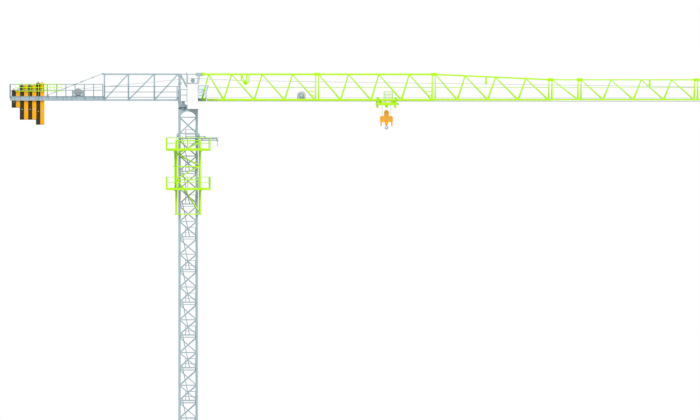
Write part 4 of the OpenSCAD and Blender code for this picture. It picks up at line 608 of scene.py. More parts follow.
def add_disc(sides: int, radius: float, depth: float, middle: Point, **options: object) -> Thing:
    """Adds an upright disc or cylinder about its middle, with the operator's other settings."""
    return start(
        bpy.ops.mesh.primitive_cylinder_add, vertices=sides, radius=radius, depth=depth,
        location=middle, **options,
    )


def looks_up(middle: Vector, normal: Vector) -> bool:
    """Says whether a face looks up."""
    return normal.z > FACING


def extrude_by(value: Point) -> None:
    """Extrudes what is selected and moves it."""
    bpy.ops.mesh.extrude_region_move(TRANSFORM_OT_translate={"value": value})


def smooth_round(obj: Thing, axis: Point) -> None:
    """Smooths the faces that run round an axis, and leaves the ends flat."""
    for face in obj.data.polygons:
        face.use_smooth = abs(face.normal.dot(Vector(axis))) < 0.5


@dataclass(frozen=True)
class Winding:
    """The turns of a rope on a drum along Y: radii of rope and turns, first and last place, and counts."""

    rope_r: float
    drum_r: float
    first: float
    last: float
    turns: int
    steps: int

    def wind(self, x: float, z: float) -> Thing:
        """Models the turns round the drum's axis.

        Args:
            x: Place of the axis along X.
            z: Height of the axis.

        Returns:
            The wound rope.
        """
        rope = start(
            bpy.ops.mesh.primitive_circle_add, vertices=8, radius=self.rope_r, fill_type="NOTHING",
            location=(self.drum_r, self.first, 0),
        )
        apply_modifier(
            rope, "SCREW", axis="Y", angle=math.tau, screw_offset=(self.last - self.first) / self.turns,
            steps=self.steps, render_steps=self.steps, iterations=self.turns, use_merge_vertices=False,
        )
        rope.data.transform(Matrix.Translation((x, 0, z)))
        return rope


# Places for copies of a shape


def place_along(
    start_at: Point, end_at: Point, width: float, depth: float | None = None, side: Point = AHEAD
) -> Matrix:
    """Gives the place of a unit bar that stands on z = 0 and is stretched between two points.

    Args:
        start_at: Where the bar starts.
        end_at: Where the bar ends.
        width: Size across the bar, at right angles to side.
        depth: Size along side, the same as width if it is left out.
        side: A direction that the bar's second face looks along.

    Returns:
        The matrix that stretches the unit bar into place.
    """
    run = Vector(end_at) - Vector(start_at)
    along = run.normalized()
    second = Vector(side) - along * along.dot(Vector(side))
    if second.length < TINY:
        # the bar itself runs along side, so its second face looks along X
        second = Vector((1, 0, 0)) - along * along.x
    second.normalize()
    first = second.cross(along)
    turn = Matrix((first, second, along)).transposed().to_4x4()
    size = Matrix.Diagonal((width, width if depth is None else depth, run.length, 1))
    return Matrix.Translation(start_at) @ turn @ size


def place_on(at: Point, axis: Point, size: float) -> Matrix:
    """Gives the place of a unit fitting that stands at a point and looks along an axis."""
    return place_along(at, Vector(at) + Vector(axis).normalized() * size, size)


def both_faces(x: float, y: float, z: float, size: float) -> list[Matrix]:
    """Places one fitting on each outer face of a pair of members, at y and at -y."""
    return [place_on((x, s * y, z), (0, s, 0), size) for s in SIDES]


def ring_of(centre: Vector, radius: float, count: int, up: Point, offset: float = 0.0) -> list[Vector]:
    """Spreads points evenly round a centre.

    Args:
        centre: The middle of the ring.
        radius: Its radius.
        count: How many points there are.
        up: The direction that lies in the ring's plane with X.
        offset: How far the first point stands from X, as a share of the step between points.

    Returns:
        The points.
    """
    turns = [math.tau * (k + offset) / count for k in range(count)]
    return [centre + (Vector((math.cos(a), 0, 0)) + Vector(up) * math.sin(a)) * radius for a in turns]


def cooling_fins(middle: Point, radius: float, count: int, size: Pair, up: Point) -> list[Matrix]:
    """Places fins round a motor's shell.

    Args:
        middle: Middle of the finned length, on the motor's axis.
        radius: Where the fins start.
        count: How many fins there are.
        size: Height of a fin and its length along the axis.
        up: The direction that lies with X in the plane across the axis.

    Returns:
        One place for each fin.
    """
    feet = ring_of(Vector(middle), radius, count, up)
    tips = ring_of(Vector(middle), radius + size[0], count, up)
    # a quarter of a turn further on lies the direction that a fin's face looks in
    sides = ring_of(Vector(), 1.0, count, up, count / 4)
    return [place_along(*ends, size[1], FIN_T, side) for *ends, side in zip(feet, tips, sides)]


def repeat(template: Thing, name: str, places: Sequence[Matrix]) -> Thing:
    """Copies a template to many places, all in one new mesh.

    Args:
        template: The shape that was modelled once.
        name: Name of the new piece.
        places: One matrix for each copy.

    Returns:
        The new piece, at the origin, with a mesh of its own.
    """
    source = template.data
    corners = np.array([[*v.co, 1.0] for v in source.vertices])
    faces = [list(f.vertices) for f in source.polygons]
    smooth = [f.use_smooth for f in source.polygons]
    verts: list[np.ndarray] = []
    loops: list[list[int]] = []
    for k, place in enumerate(places):
        verts.append((corners @ np.array(place).T)[:, :3])
        loops += [[i + k * len(corners) for i in face] for face in faces]
    mesh = bpy.data.meshes.new(name)
    mesh.from_pydata(np.concatenate(verts).tolist(), [], loops)
    mesh.polygons.foreach_set("use_smooth", smooth * len(places))
    mesh.update()
    piece = bpy.data.objects.new(name, mesh)
    bpy.context.scene.collection.objects.link(piece)
    return piece


class Stock:
    """Shapes that are modelled once and used all over the crane."""

    def __init__(self) -> None:
        """Models each shape about the origin, in units of its own size."""
        self.bar = self._bar()
        self.rod = self._rod()
        self.nut = self._nut()
        self.pin = self._pin()
        self.gusset = self._gusset()
        self.socket = self._socket()
        self.fin = self._fin()

    def _bar(self) -> Thing:
        """A square bar with broken edges, one unit long and wide."""
        bar = add_block((0, 0, 0.5))
        with editing(bar, SelectBy.EDGES, lambda middle, run: abs(run.z) > FACING):
            bpy.ops.mesh.bevel(offset=0.07, segments=1, affect="EDGES")
        return bar

    def _rod(self) -> Thing:
        """A round bar with eight smooth sides, one unit long and wide."""
        rod = add_disc(8, 0.5, 1, (0, 0, 0.5))
        smooth_round(rod, UP)
        return rod

    def _nut(self) -> Thing:
        """A hexagon nut on its washer, with the end of its bolt, one unit across the corners."""
        washer = add_disc(14, 0.62, 0.1, (0, 0, 0.05))
        nut = add_disc(6, 0.5, 0.42, (0, 0, 0.31))
        with editing(nut, SelectBy.FACES, looks_up):
            bpy.ops.mesh.inset(thickness=0.07)
            bpy.ops.transform.translate(value=(0, 0, 0.04))
            bpy.ops.mesh.inset(thickness=0.12)
            extrude_by((0, 0, 0.18))
            bpy.ops.transform.resize(value=(0.85, 0.85, 1))
        return join([washer, nut])

    def _pin(self) -> Thing:
        """The head of a turned pin with a keeper groove, one unit across."""
        pin = add_disc(16, 0.5, 0.22, (0, 0, 0.11))
        with editing(pin, SelectBy.FACES, looks_up):
            bpy.ops.mesh.inset(thickness=0.05)
            bpy.ops.transform.translate(value=(0, 0, 0.05))
            bpy.ops.mesh.inset(thickness=0.2)
            extrude_by((0, 0, -0.06))
        return pin

    def _gusset(self) -> Thing:
        """A plate with one corner cut away, one unit high, wide and thick."""
        gusset = add_block((0.5, 0, 0.5))
        with editing(gusset, SelectBy.EDGES, lambda middle, run: middle.x > 0.9 and middle.z > 0.9):
            bpy.ops.transform.translate(value=(-0.84, 0, 0))
        with editing(gusset, SelectBy.EDGES, lambda middle, run: middle.x > 0.9 and middle.z < 0.1):
            bpy.ops.mesh.bevel(offset=0.14, segments=1, affect="EDGES")
        return gusset

    def _socket(self) -> Thing:
        """A cast-in lifting socket: a ring with a dished bottom, one unit across."""
        ring = add_disc(18, 0.5, 0.12, (0, 0, 0.06))
        with editing(ring, SelectBy.FACES, looks_up):
            bpy.ops.mesh.inset(thickness=0.14)
            extrude_by((0, 0, -0.08))
            bpy.ops.transform.resize(value=(0.8, 0.8, 1))
        return ring

    def _fin(self) -> Thing:
        """A cooling fin, tapered to its edge, one unit long, high and thick."""
        fin = add_block((0, 0, 0.5))
        with editing(fin, SelectBy.FACES, looks_up):
            bpy.ops.transform.resize(value=(0.92, 0.45, 1))
        return fin

    def clear(self) -> None:
        """Removes the template shapes, which are no pieces of the crane."""
        for template in vars(self).values():
            bpy.data.objects.remove(template)


@dataclass
class Workshop:
    """Finishes, stock shapes and the frame that every sub-assembly works with.

    Args:
        stock: The shapes that are modelled once.
        finishes: The materials that are made so far.
    """

    frame: dict
    stock: Stock = field(default_factory=Stock)
    finishes: dict[Coat, Material] = field(default_factory=dict)

    def material(self, coat: Coat) -> Material:
        """Returns the material of a finish, made the first time that it is asked for."""
        if coat not in self.finishes:
            self.finishes[coat] = coat.value[0].build()
        return self.finishes[coat]

    def dress(self, coat: Coat, *nodes: str) -> None:
        """Gives carried-over nodes their finish.

        Args:
            coat: The finish.
            *nodes: Names of the nodes.
        """
        for name in nodes:
            node = self.frame["nodes"][name]
            if not node.material_slots:
                node.data.materials.append(self.material(coat))
            for slot in node.material_slots:
                slot.material = self.material(coat)
            LOG.info("finish %s on %s", coat.value[0].name, name)

    def coat_piece(self, piece: Thing, name: str, coat: Coat) -> None:
        """Names a finished piece and gives it its finish.

        Args:
            piece: The finished piece.
            name: Its name.
            coat: Its finish.
        """
        piece.name = piece.data.name = name
        piece.data.materials.clear()
        piece.data.materials.append(self.material(coat))

    def hand_over(self, piece: Thing, name: str, coat: Coat, body: str) -> None:
        """Names a finished piece, gives it its finish and lets it ride on its body.

        Args:
            piece: The finished piece.
            name: Its name.
            coat: Its finish.
            body: The body that it moves with.
        """
        self.coat_piece(piece, name, coat)
        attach(piece, body)
        LOG.info("piece %s: %d faces on %s", name, len(piece.data.polygons), body)


@dataclass(frozen=True)
class Plan:
    """Sizes and heights of the crane that the fittings share, in metres."""

    # mast and slewing ring
    base_h: float = 0.260
    sections: int = 9
    pitch: float = 1.400
    mast_w: float = 0.810
    leg: float = 0.075
    support_h: float = 1.292
    ring_h: float = 0.084
    # tower head: the lower chords above the ring, and the upper chord above them
    chord_z: float = 0.328
    head_rise: float = 1.091
    # jib, and the gap between its root and what is bolted to the tower head
    jib_start: float = 0.517
    root_gap: float = 0.1
    jib_l: float = 5.000
    short_l: float = 1.250
    tip_l: float = 1.290
    jib_w: float = 0.750
    chord_heavy: float = 0.080
    chord_light: float = 0.050
    diag_heavy: float = 0.038
    diag_light: float = 0.030
    jib_drop: float = 0.227
    # bays of the side lattices, and the frames at the ends of a section
    bay_l: float = 1.302
    first_low: float = 1.005
    first_high: float = 0.036
    end_in: float = 0.066
    end_bar: float = 0.042
    wheel_in: float = 0.377
    trolley_x: float = 8.486

    @property
    def mast_top(self) -> float:
        """Top of the mast."""
        return self.base_h + self.sections * self.pitch

    @property
    def leg_c(self) -> float:
        """Half of the distance between the legs' middles."""
        return (self.mast_w - self.leg) / 2

    @property
    def support_top(self) -> float:
        """Top of the fixed slewing support."""
        return self.mast_top + self.support_h

    @property
    def low_z(self) -> float:
        """Middle of the lower chords."""
        return self.support_top + self.ring_h + self.chord_z

    @property
    def high_z(self) -> float:
        """Middle of the upper chord at the tower head."""
        return self.low_z + self.head_rise

    @property
    def rail_z(self) -> float:
        """Running face of the lower chords."""
        return self.low_z + self.chord_heavy / 2

    @property
    def joints(self) -> list[float]:
        """Places of the jib's joints along X, from its root to its end."""
        lengths = [self.jib_l] * 3 + [self.short_l, self.jib_l, self.tip_l]
        return [self.jib_start + sum(lengths[:k]) for k in range(len(lengths) + 1)]

    def chord(self, section: int) -> float:
        """Side of the chords of a jib section, counted from 1."""
        mid = (self.chord_heavy + self.chord_light) / 2
        return [self.chord_heavy, self.chord_heavy, mid, *[self.chord_light] * 3][section - 1]

    def diagonal(self, section: int) -> float:
        """Side of the diagonals of a jib section, counted from 1."""
        return self.diag_heavy if section <= 3 else self.diag_light

    def drop(self, joint: int) -> float:
        """How far the upper chord lies below its root at a joint, counted from 0."""
        return 0.0 if joint < 3 else self.jib_drop

    def high_at(self, section: int, x: float) -> float:
        """Height of the upper chord's middle at a place.

        Args:
            section: The section, counted from 1.
            x: Distance from the section's start.

        Returns:
            The height above the ground.
        """
        length = self.joints[section] - self.joints[section - 1]
        fall = (self.drop(section) - self.drop(section - 1)) * x / length
        return self.high_z - self.drop(section - 1) - fall

    def side_y(self, section: int, x: float, z: float) -> float:
        """Distance of the jib's side plane from its middle plane, at a place and height.

        Args:
            section: The section, counted from 1.
            x: Distance from the section's start.
            z: Height above the ground.

        Returns:
            The distance along Y.
        """
        w = self.chord(section)
        low = self.rail_z - w / 2
        chord_y = self.jib_w / 2 + self.chord_heavy / 2 - w / 2
        lean = chord_y / (self.high_z - self.drop(section - 1) - low)
        foot = self.wheel_in - self.end_bar / 2 * math.hypot(1, lean) + w / 2 * lean
        high = self.high_at(section, x)
        return min(foot, chord_y) * (high - z) / (high - low)

    def walk_z(self, section: int) -> float:
        """Height that the walkway's plate lies on in a jib section, counted from 1."""
        return self.rail_z - self.chord(section) / 2 + self.diagonal(section) / 2


PLAN = Plan()


# Sub-assemblies


@dataclass
class Fittings:
    """What the scene adds to one sub-assembly.

    Args:
        shop: Finishes and stock shapes.
        body: The body that the fittings move with.
    """

    shop: Workshop
    body: str = "upperworks"

    @property
    def stock(self) -> Stock:
        """The shapes that are modelled once."""
        return self.shop.stock

    def hand_over(self, piece: Thing, name: str, coat: Coat, body: str = "") -> None:
        """Hands a finished piece over to this sub-assembly's body, or to another."""
        self.shop.hand_over(piece, name, coat, body or self.body)

    def lay(self, shape: Thing, name: str, places: Sequence[Matrix], coat: Coat, body: str = "") -> None:
        """Lays copies of a stock shape as one finished piece."""
        self.hand_over(repeat(shape, name, places), name, coat, body)


@dataclass
class MastFittings(Fittings):
    """Bolts, stiffeners and pins of the mast, which stands still."""

    body: str = "mast"
    # bosses that join the legs
    boss_w: float = 0.020
    boss_gap: float = 0.012
    boss_back: float = 0.0295
    # stiffeners of the ground beams, a pair on each side of a leg
    beam_h: float = 0.240
    beam_flange: float = 0.016
    beam_web: float = 0.012
    stiffener_w: float = 0.064
    stiffener_out: float = 0.042
    # slewing ring
    ring_bolts: int = 36
    ring_bolt_r: float = 0.362
    ring_nut: float = 0.026
    top_plate_t: float = 0.028
    # ears that the cage hangs from
    ear_x: float = 0.452
    # cheeks of the feed hook, which hold the rails between them
    rail_below: float = 0.006
    rail_t: float = 0.036
    cheek: Pair = (0.070, 0.008)
    cheek_y: float = 0.025
    roller_x: float = 0.021
    roller_y: Pair = (0.029, 0.040)

    def dress(self) -> None:
        """Gives the mast's nodes their finishes."""
        sections = [f"mast_section_{i}" for i in range(1, PLAN.sections + 1)]
        self.shop.dress(Coat.STEEL, "base_frame", *sections, "mast_ladders", "slewing_support")
        self.shop.dress(Coat.DARK, "feed_beams")
        self.shop.dress(Coat.DARK_PLATE, "mast_platforms")
        self.shop.dress(Coat.GEAR, "slewing_ring")

    def splices(self) -> None:
        """Joins the legs with bolts in bosses, inside each corner of each joint."""
        inside = PLAN.mast_w / 2 - PLAN.leg - self.boss_gap
        beside = PLAN.leg_c - self.boss_back
        ends = []
        for k in range(1, PLAN.sections + 1):
            low, high = (PLAN.base_h + k * PLAN.pitch + dz for dz in (-0.062, 0.016))
            for sx, sy in CORNERS:
                for x, y in ((inside, beside), (beside, inside)):
                    ends.append(((sx * x, sy * y, low), (sx * x, sy * y, high)))
        bosses = [place_along(low, high, self.boss_w) for low, high in ends]
        nuts = [place_on(at, axis, 0.022) for pair in ends for at, axis in zip(pair, (DOWN, UP))]
        self.lay(self.stock.rod, "mast_splice_bosses", bosses, Coat.STEEL)
        self.lay(self.stock.nut, "mast_splice_nuts", nuts, Coat.ZINC)

    def stiffeners(self) -> None:
        """Welds stiffeners between the flanges of the ground beams, under the legs."""
        plates = []
        for quarter in range(4):
            turn = Matrix.Rotation(math.radians(45 + 90 * quarter), 4, "Z")
            for along, s in CORNERS:
                x = PLAN.leg_c * math.sqrt(2) + along * self.stiffener_out
                y = s * (self.beam_web + self.stiffener_w) / 2
                foot, head = (x, y, self.beam_flange), (x, y, self.beam_h - self.beam_flange)
                plates.append(turn @ place_along(foot, head, 0.010, self.stiffener_w))
        self.lay(self.stock.bar, "ground_beam_stiffeners", plates, Coat.STEEL)

    def slewing_bolts(self) -> None:
        """Bolts the slewing ring from below the support's top plate."""
        centre = Vector((0, 0, PLAN.support_top - self.top_plate_t))
        spots = ring_of(centre, self.ring_bolt_r, self.ring_bolts, AHEAD, 0.5)
        places = [place_on(spot, DOWN, self.ring_nut) for spot in spots]
        self.lay(self.stock.nut, "slewing_ring_bolts", places, Coat.ZINC)

    def ear_pins(self) -> None:
        """Puts a headed pin through each ear that the climbing cage hangs from."""
        z = PLAN.mast_top + 0.142
        places = [
            place_on((sx * self.ear_x, sy * PLAN.leg_c + out * 0.020, z), (0, out, 0), 0.046)
            for sx, sy in CORNERS for out in SIDES
        ]
        self.lay(self.stock.pin, "support_ear_pins", places, Coat.GEAR)

    def feed_trolley(self) -> None:
        """Hangs the hook under the feed beams on two cheeks with rollers."""
        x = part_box("feed_beams")[1].x - 0.051
        rail_top = PLAN.mast_top - self.rail_below
        rail_low = rail_top - self.rail_t
        cheeks = [
            place_along((x, s * self.cheek_y, rail_low - 0.030),
                        (x, s * self.cheek_y, rail_top + 0.006), *self.cheek)
            for s in SIDES
        ]
        rollers = [
            place_along(
                *((x + k * self.roller_x, s * y, rail_low - 0.018) for y in self.roller_y),
                0.020,
            )
            for k, s in CORNERS
        ]
        self.lay(self.stock.bar, "feed_hook_cheeks", cheeks, Coat.STEEL)
        self.lay(self.stock.rod, "feed_hook_rollers", rollers, Coat.ZINC)

    def build(self) -> None:
        """Makes everything that stands on the ground."""
        self.dress()
        self.splices()
        self.stiffeners()
        self.slewing_bolts()
        self.ear_pins()
        self.feed_trolley()


@dataclass
class CageFittings(Fittings):
    """Gussets, toe boards and clamps of the climbing cage."""

    body: str = "climbing_cage"
    span: float = 1.005
    post: float = 0.060
    # decks, with their gussets, joists and toe boards
    deck_gap: float = 1.681
    deck_t: float = 0.062
    bracket: float = 0.055
    bracket_t: float = 0.012
    toe_h: float = 0.040
    toe_t: float = 0.006
    toe_in: float = 0.026
    joist: float = 0.030
    joist_gap: float = 0.012
    joist_pitch: Pair = (0.15, 0.26)
    joists_each_way: int = 3
    # bolts of the foot plates and of the crossbars, with their drops from the cage's top
    bolt: float = 0.020
    foot_bolt: float = 0.047
    crossbars: tuple[float, ...] = (0.092, 0.601, 1.102, 1.656, 3.117)
    # jacking cylinder
    clamp: Pair = (0.044, 0.030)
    clamp_edge: float = 0.004
    clamp_drops: Pair = (0.110, 0.700)
    jack_pin_y: float = 0.0494
    # guide rollers at the top and at the foot
    roller_drops: Pair = (0.034, 3.177)
    roller_in: float = 0.016

    def dress(self) -> None:
        """Gives the cage's nodes their finishes."""
        self.shop.dress(Coat.LIME, "cage_frame", "cage_railings", "jacking_cylinder")
        self.shop.dress(Coat.LIME_PLATE, "cage_decks")
        self.shop.dress(Coat.GEAR, "cage_rollers", "jacking_yoke")

    @property
    def decks(self) -> list[float]:
        """Heights of the walking faces."""
        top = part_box("cage_decks")[1].z
        return [top, top - self.deck_gap]

    def brackets(self) -> None:
        """Carries each deck on gussets that stand out from the posts."""
        edge = (self.span + self.post) / 2
        size = Matrix.Diagonal((self.bracket, self.bracket_t, self.bracket, 1))
        over = Matrix.Rotation(math.pi, 4, "X")
        places = []
        for z in self.decks:
            under = z - self.deck_t
            for sx, sy in CORNERS:
                side = Matrix.Rotation(math.pi, 4, "Y") if sx < 0 else over
                swing = Matrix.Rotation(sy * math.pi / 2, 4, "Z") @ over
                places.append(Matrix.Translation((sx * edge, sy * self.span / 2, under)) @ side @ size)
                places.append(Matrix.Translation((sx * self.span / 2, sy * edge, under)) @ swing @ size)
        self.lay(self.stock.gusset, "deck_brackets", places, Coat.LIME)

    def toe_boards(self) -> None:
        """Stands a low board round the outer edge of each deck."""
        low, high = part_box("cage_decks")
        height = self.toe_h - MM
        places = []
        for level, z in enumerate(self.decks):
            middle = z + MM + height / 2
            for s in SIDES:
                y = s * (high.y - self.toe_in)
                ends = [(x, y, middle) for x in (low.x + self.toe_in, high.x - self.toe_in)]
                places.append(place_along(*ends, height, self.toe_t))
                if s > 0 and level == 0:
                    # the upper deck is open where new mast sections come in
                    continue
                x = s * (high.x - self.toe_in)
                ends = [(x, y, middle) for y in (low.y + self.toe_in, high.y - self.toe_in)]
                places.append(place_along(*ends, self.toe_t, height, side=UP))
        self.lay(self.stock.bar, "deck_toe_boards", places, Coat.LIME)

    def joists(self) -> None:
        """Runs joists under the plates of the decks, inside their edge frames."""
        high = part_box("cage_decks")[1]
        inner = (self.span + self.post) / 2 + self.joist_gap
        pitch_x, pitch_y = self.joist_pitch
        places = []
        for deck in self.decks:
            z = deck - self.joist
            for s in SIDES:
                for k in range(-self.joists_each_way, self.joists_each_way + 1):
                    across = [(s * x, k * pitch_y, z) for x in (inner, high.x - self.joist_gap)]
                    along = [(k * pitch_x, s * y, z) for y in (inner, high.y - self.joist_gap)]
                    places.append(place_along(*across, self.joist))
                    places.append(place_along(*along, self.joist, side=UP))
        self.lay(self.stock.bar, "deck_joists", places, Coat.LIME)

    def post_bolts(self) -> None:
        """Bolts the foot plates, and the posts where the crossbars meet them."""
        low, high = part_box("cage_frame")
        half = self.span / 2
        places = []
        for sx, sy in CORNERS:
            for dx, dy in CORNERS:
                x, y = sx * half + dx * self.foot_bolt, sy * half + dy * self.foot_bolt
                places.append(place_on((x, y, low.z + 0.035), UP, self.bolt))
            for drop in self.crossbars:
                for s in SIDES:
                    at = (sx * half, sy * (half + self.post / 2), high.z - drop + s * 0.030)
                    places.append(place_on(at, (0, sy, 0), self.bolt))
        self.lay(self.stock.nut, "cage_post_bolts", places, Coat.ZINC)

    def jack_clamps(self) -> None:
        """Clamps the jacking cylinder with three rings, and pins its head."""
        low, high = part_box("jacking_cylinder")
        x = high.x - 0.038
        rings = []
        for z in (*(high.z - drop for drop in self.clamp_drops), low.z + 0.040):
            ring = add_disc(24, *self.clamp, (x, 0, z))
            with editing(ring, SelectBy.FACES, lambda middle, normal: abs(normal.z) > FACING):
                bpy.ops.mesh.inset(thickness=self.clamp_edge)
                bpy.ops.transform.resize(value=(1, 1, 1.25))
            rings.append(ring)
        self.hand_over(join(rings), "jack_clamps", Coat.LIME)
        pins = both_faces(x, self.jack_pin_y, high.z - 0.030, 0.036)
        self.lay(self.stock.pin, "jack_head_pins", pins, Coat.ZINC)

    def roller_nuts(self) -> None:
        """Puts a nut on each end of the guide rollers' axles."""
        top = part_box("cage_frame")[1].z
        centre = PLAN.mast_w / 2 + 0.0328
        places = []
        for level, drop in enumerate(self.roller_drops):
            for quarter in range(4):
                if quarter == 1 and level == 0:
                    # the upper rollers leave the side free where new mast sections come in
                    continue
                turn = Matrix.Rotation(math.pi / 2 * quarter, 4, "Z")
                for s, k in CORNERS:
                    x = s * (PLAN.leg_c - self.roller_in) + k * 0.034
                    spot = Vector((x, -centre, top - drop))
                    places.append(place_on(turn @ spot, turn @ Vector((k, 0, 0)), 0.018))
        self.lay(self.stock.nut, "guide_roller_nuts", places, Coat.ZINC)

    def build(self) -> None:
        """Makes everything that climbs."""
        self.dress()
        self.brackets()
        self.toe_boards()
        self.joists()
        self.post_bolts()
        self.jack_clamps()
        self.roller_nuts()


@dataclass
class TowerHeadFittings(Fittings):
    """Side posts, node plates, lifting lugs and the slewing motor's fins."""

    # side posts, which lean in from the middle bar to the top bar
    post_x: float = -0.038
    post_foot_y: float = 0.339
    post_head_y: float = 0.219
    post_in: float = 0.012
    post_size: Pair = (0.044, 0.034)
    foot_plate: Pair = (0.084, 0.046)
    # knots of the rear posts, with their drops from the upper chord
    middle_bar: float = 0.387
    top_bar: float = 0.035
    rear_post: float = 0.070
    plate_half: float = 0.062
    plate_size: Pair = (0.118, 0.007)
    plate_seat: float = 0.003
    bolt_pitch: float = 0.044
    bolt_edge: float = 0.016
    # lifting lugs
    lug: Point = (-0.068, 0.232, 0.018)
    lug_size: Point = (0.080, 0.034, 0.016)
    eye_r: float = 0.017
    eye_wire: float = 0.006
    # slewing motor above its pinion
    pinion: Pair = (-0.2351, -0.4242)
    motor_r: float = 0.060
    fins: int = 20
    fin_size: Pair = (0.011, 0.044)
    cover_t: float = 0.016
    flange_bolts: int = 10
    flange_r: float = 0.083
    flange_z: float = 0.0695

    def dress(self) -> None:
        """Gives the turning parts round the tower head their finishes."""
        self.shop.dress(Coat.STEEL, "turret_base", "tower_head")
        self.shop.dress(Coat.STEEL_PLATE, "tower_platforms")
        self.shop.dress(Coat.DARK, "slewing_drive")
        self.shop.dress(Coat.GEAR, "slewing_pinion")

    def posts(self) -> None:
        """Stands a leaning post between the middle bar and the top bar on each side, on a foot plate."""
        places = []
        for s in SIDES:
            foot = Vector((self.post_x, s * self.post_foot_y, PLAN.high_z - self.middle_bar + self.post_in))
            head = (self.post_x, s * self.post_head_y, PLAN.high_z - self.post_in)
            places.append(place_along(foot, head, *self.post_size))
            places.append(place_along(foot, foot + Vector(UP) * 0.012, *self.foot_plate))
        self.lay(self.stock.bar, "head_side_posts", places, Coat.STEEL)

    def node_plates(self) -> None:
        """Bolts a plate on each knot of the rear posts, outside."""
        face = PLAN.leg_c + self.rear_post / 2
        x = 0.012 - PLAN.leg_c
        plates = []
        nuts = []
        for z in (PLAN.high_z - self.middle_bar, PLAN.high_z - self.top_bar):
            low, high = z - self.plate_half, min(z + self.plate_half, PLAN.high_z + 0.026)
            for s in SIDES:
                y = s * (face + self.plate_seat)
                plates.append(place_along((x, y, low), (x, y, high), *self.plate_size))
                for k in (-1, 0, 1):
                    for edge in (low + self.bolt_edge, high - self.bolt_edge):
                        at = (x + k * self.bolt_pitch, s * (face + 2 * self.plate_seat), edge)
                        nuts.append(place_on(at, (0, s, 0), 0.020))
        self.lay(self.stock.bar, "head_node_plates", plates, Coat.STEEL)
        self.lay(self.stock.nut, "head_node_bolts", nuts, Coat.ZINC)

    def lifting_lugs(self) -> None:
        """Welds a lug with an eye on each of the two top bars."""
        lugs = []
        for s in SIDES:
            at = Vector((self.lug[0], s * self.lug[1], PLAN.high_z + self.lug[2]))
            base = add_block(at + Vector(UP) * 0.006, self.lug_size)
            with editing(base, SelectBy.FACES, looks_up):
                bpy.ops.transform.resize(value=(0.7, 0.5, 1))
            eye = start(
                bpy.ops.mesh.primitive_torus_add, major_radius=self.eye_r, minor_radius=self.eye_wire,
                major_segments=20, minor_segments=8, location=at + Vector(UP) * 0.032,
                rotation=ACROSS_Y,
            )
            lugs += [base, eye]
        self.hand_over(join(lugs), "head_lifting_lugs", Coat.STEEL)

    def motor(self) -> None:
        """Rings the slewing motor with cooling fins, closes it with a fan cover and bolts its flange."""
        x, y = self.pinion
        low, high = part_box("slewing_drive")
        middle = (x, y, high.z - 0.031)
        fins = cooling_fins(middle, self.motor_r - MM, self.fins, self.fin_size, AHEAD)
        self.lay(self.stock.fin, "slewing_motor_fins", fins, Coat.DARK)
        cover = add_disc(28, self.motor_r + 0.004, self.cover_t, (x, y, high.z + 0.006))
        with editing(cover, SelectBy.FACES, looks_up):
            bpy.ops.mesh.inset(thickness=0.008)
            bpy.ops.transform.translate(value=(0, 0, 0.005))
            bpy.ops.mesh.inset(thickness=0.022)
            extrude_by((0, 0, -0.006))
        self.hand_over(cover, "slewing_motor_cover", Coat.DARK)
        spots = ring_of(Vector((x, y, low.z + self.flange_z)), self.flange_r, self.flange_bolts, AHEAD)
        bolts = [place_on(spot, UP, 0.016) for spot in spots]
        self.lay(self.stock.nut, "slewing_drive_bolts", bolts, Coat.ZINC)

    def build(self) -> None:
        """Makes the fittings round the tower head."""
        self.dress()
        self.posts()
        self.node_plates()
        self.lifting_lugs()
        self.motor()


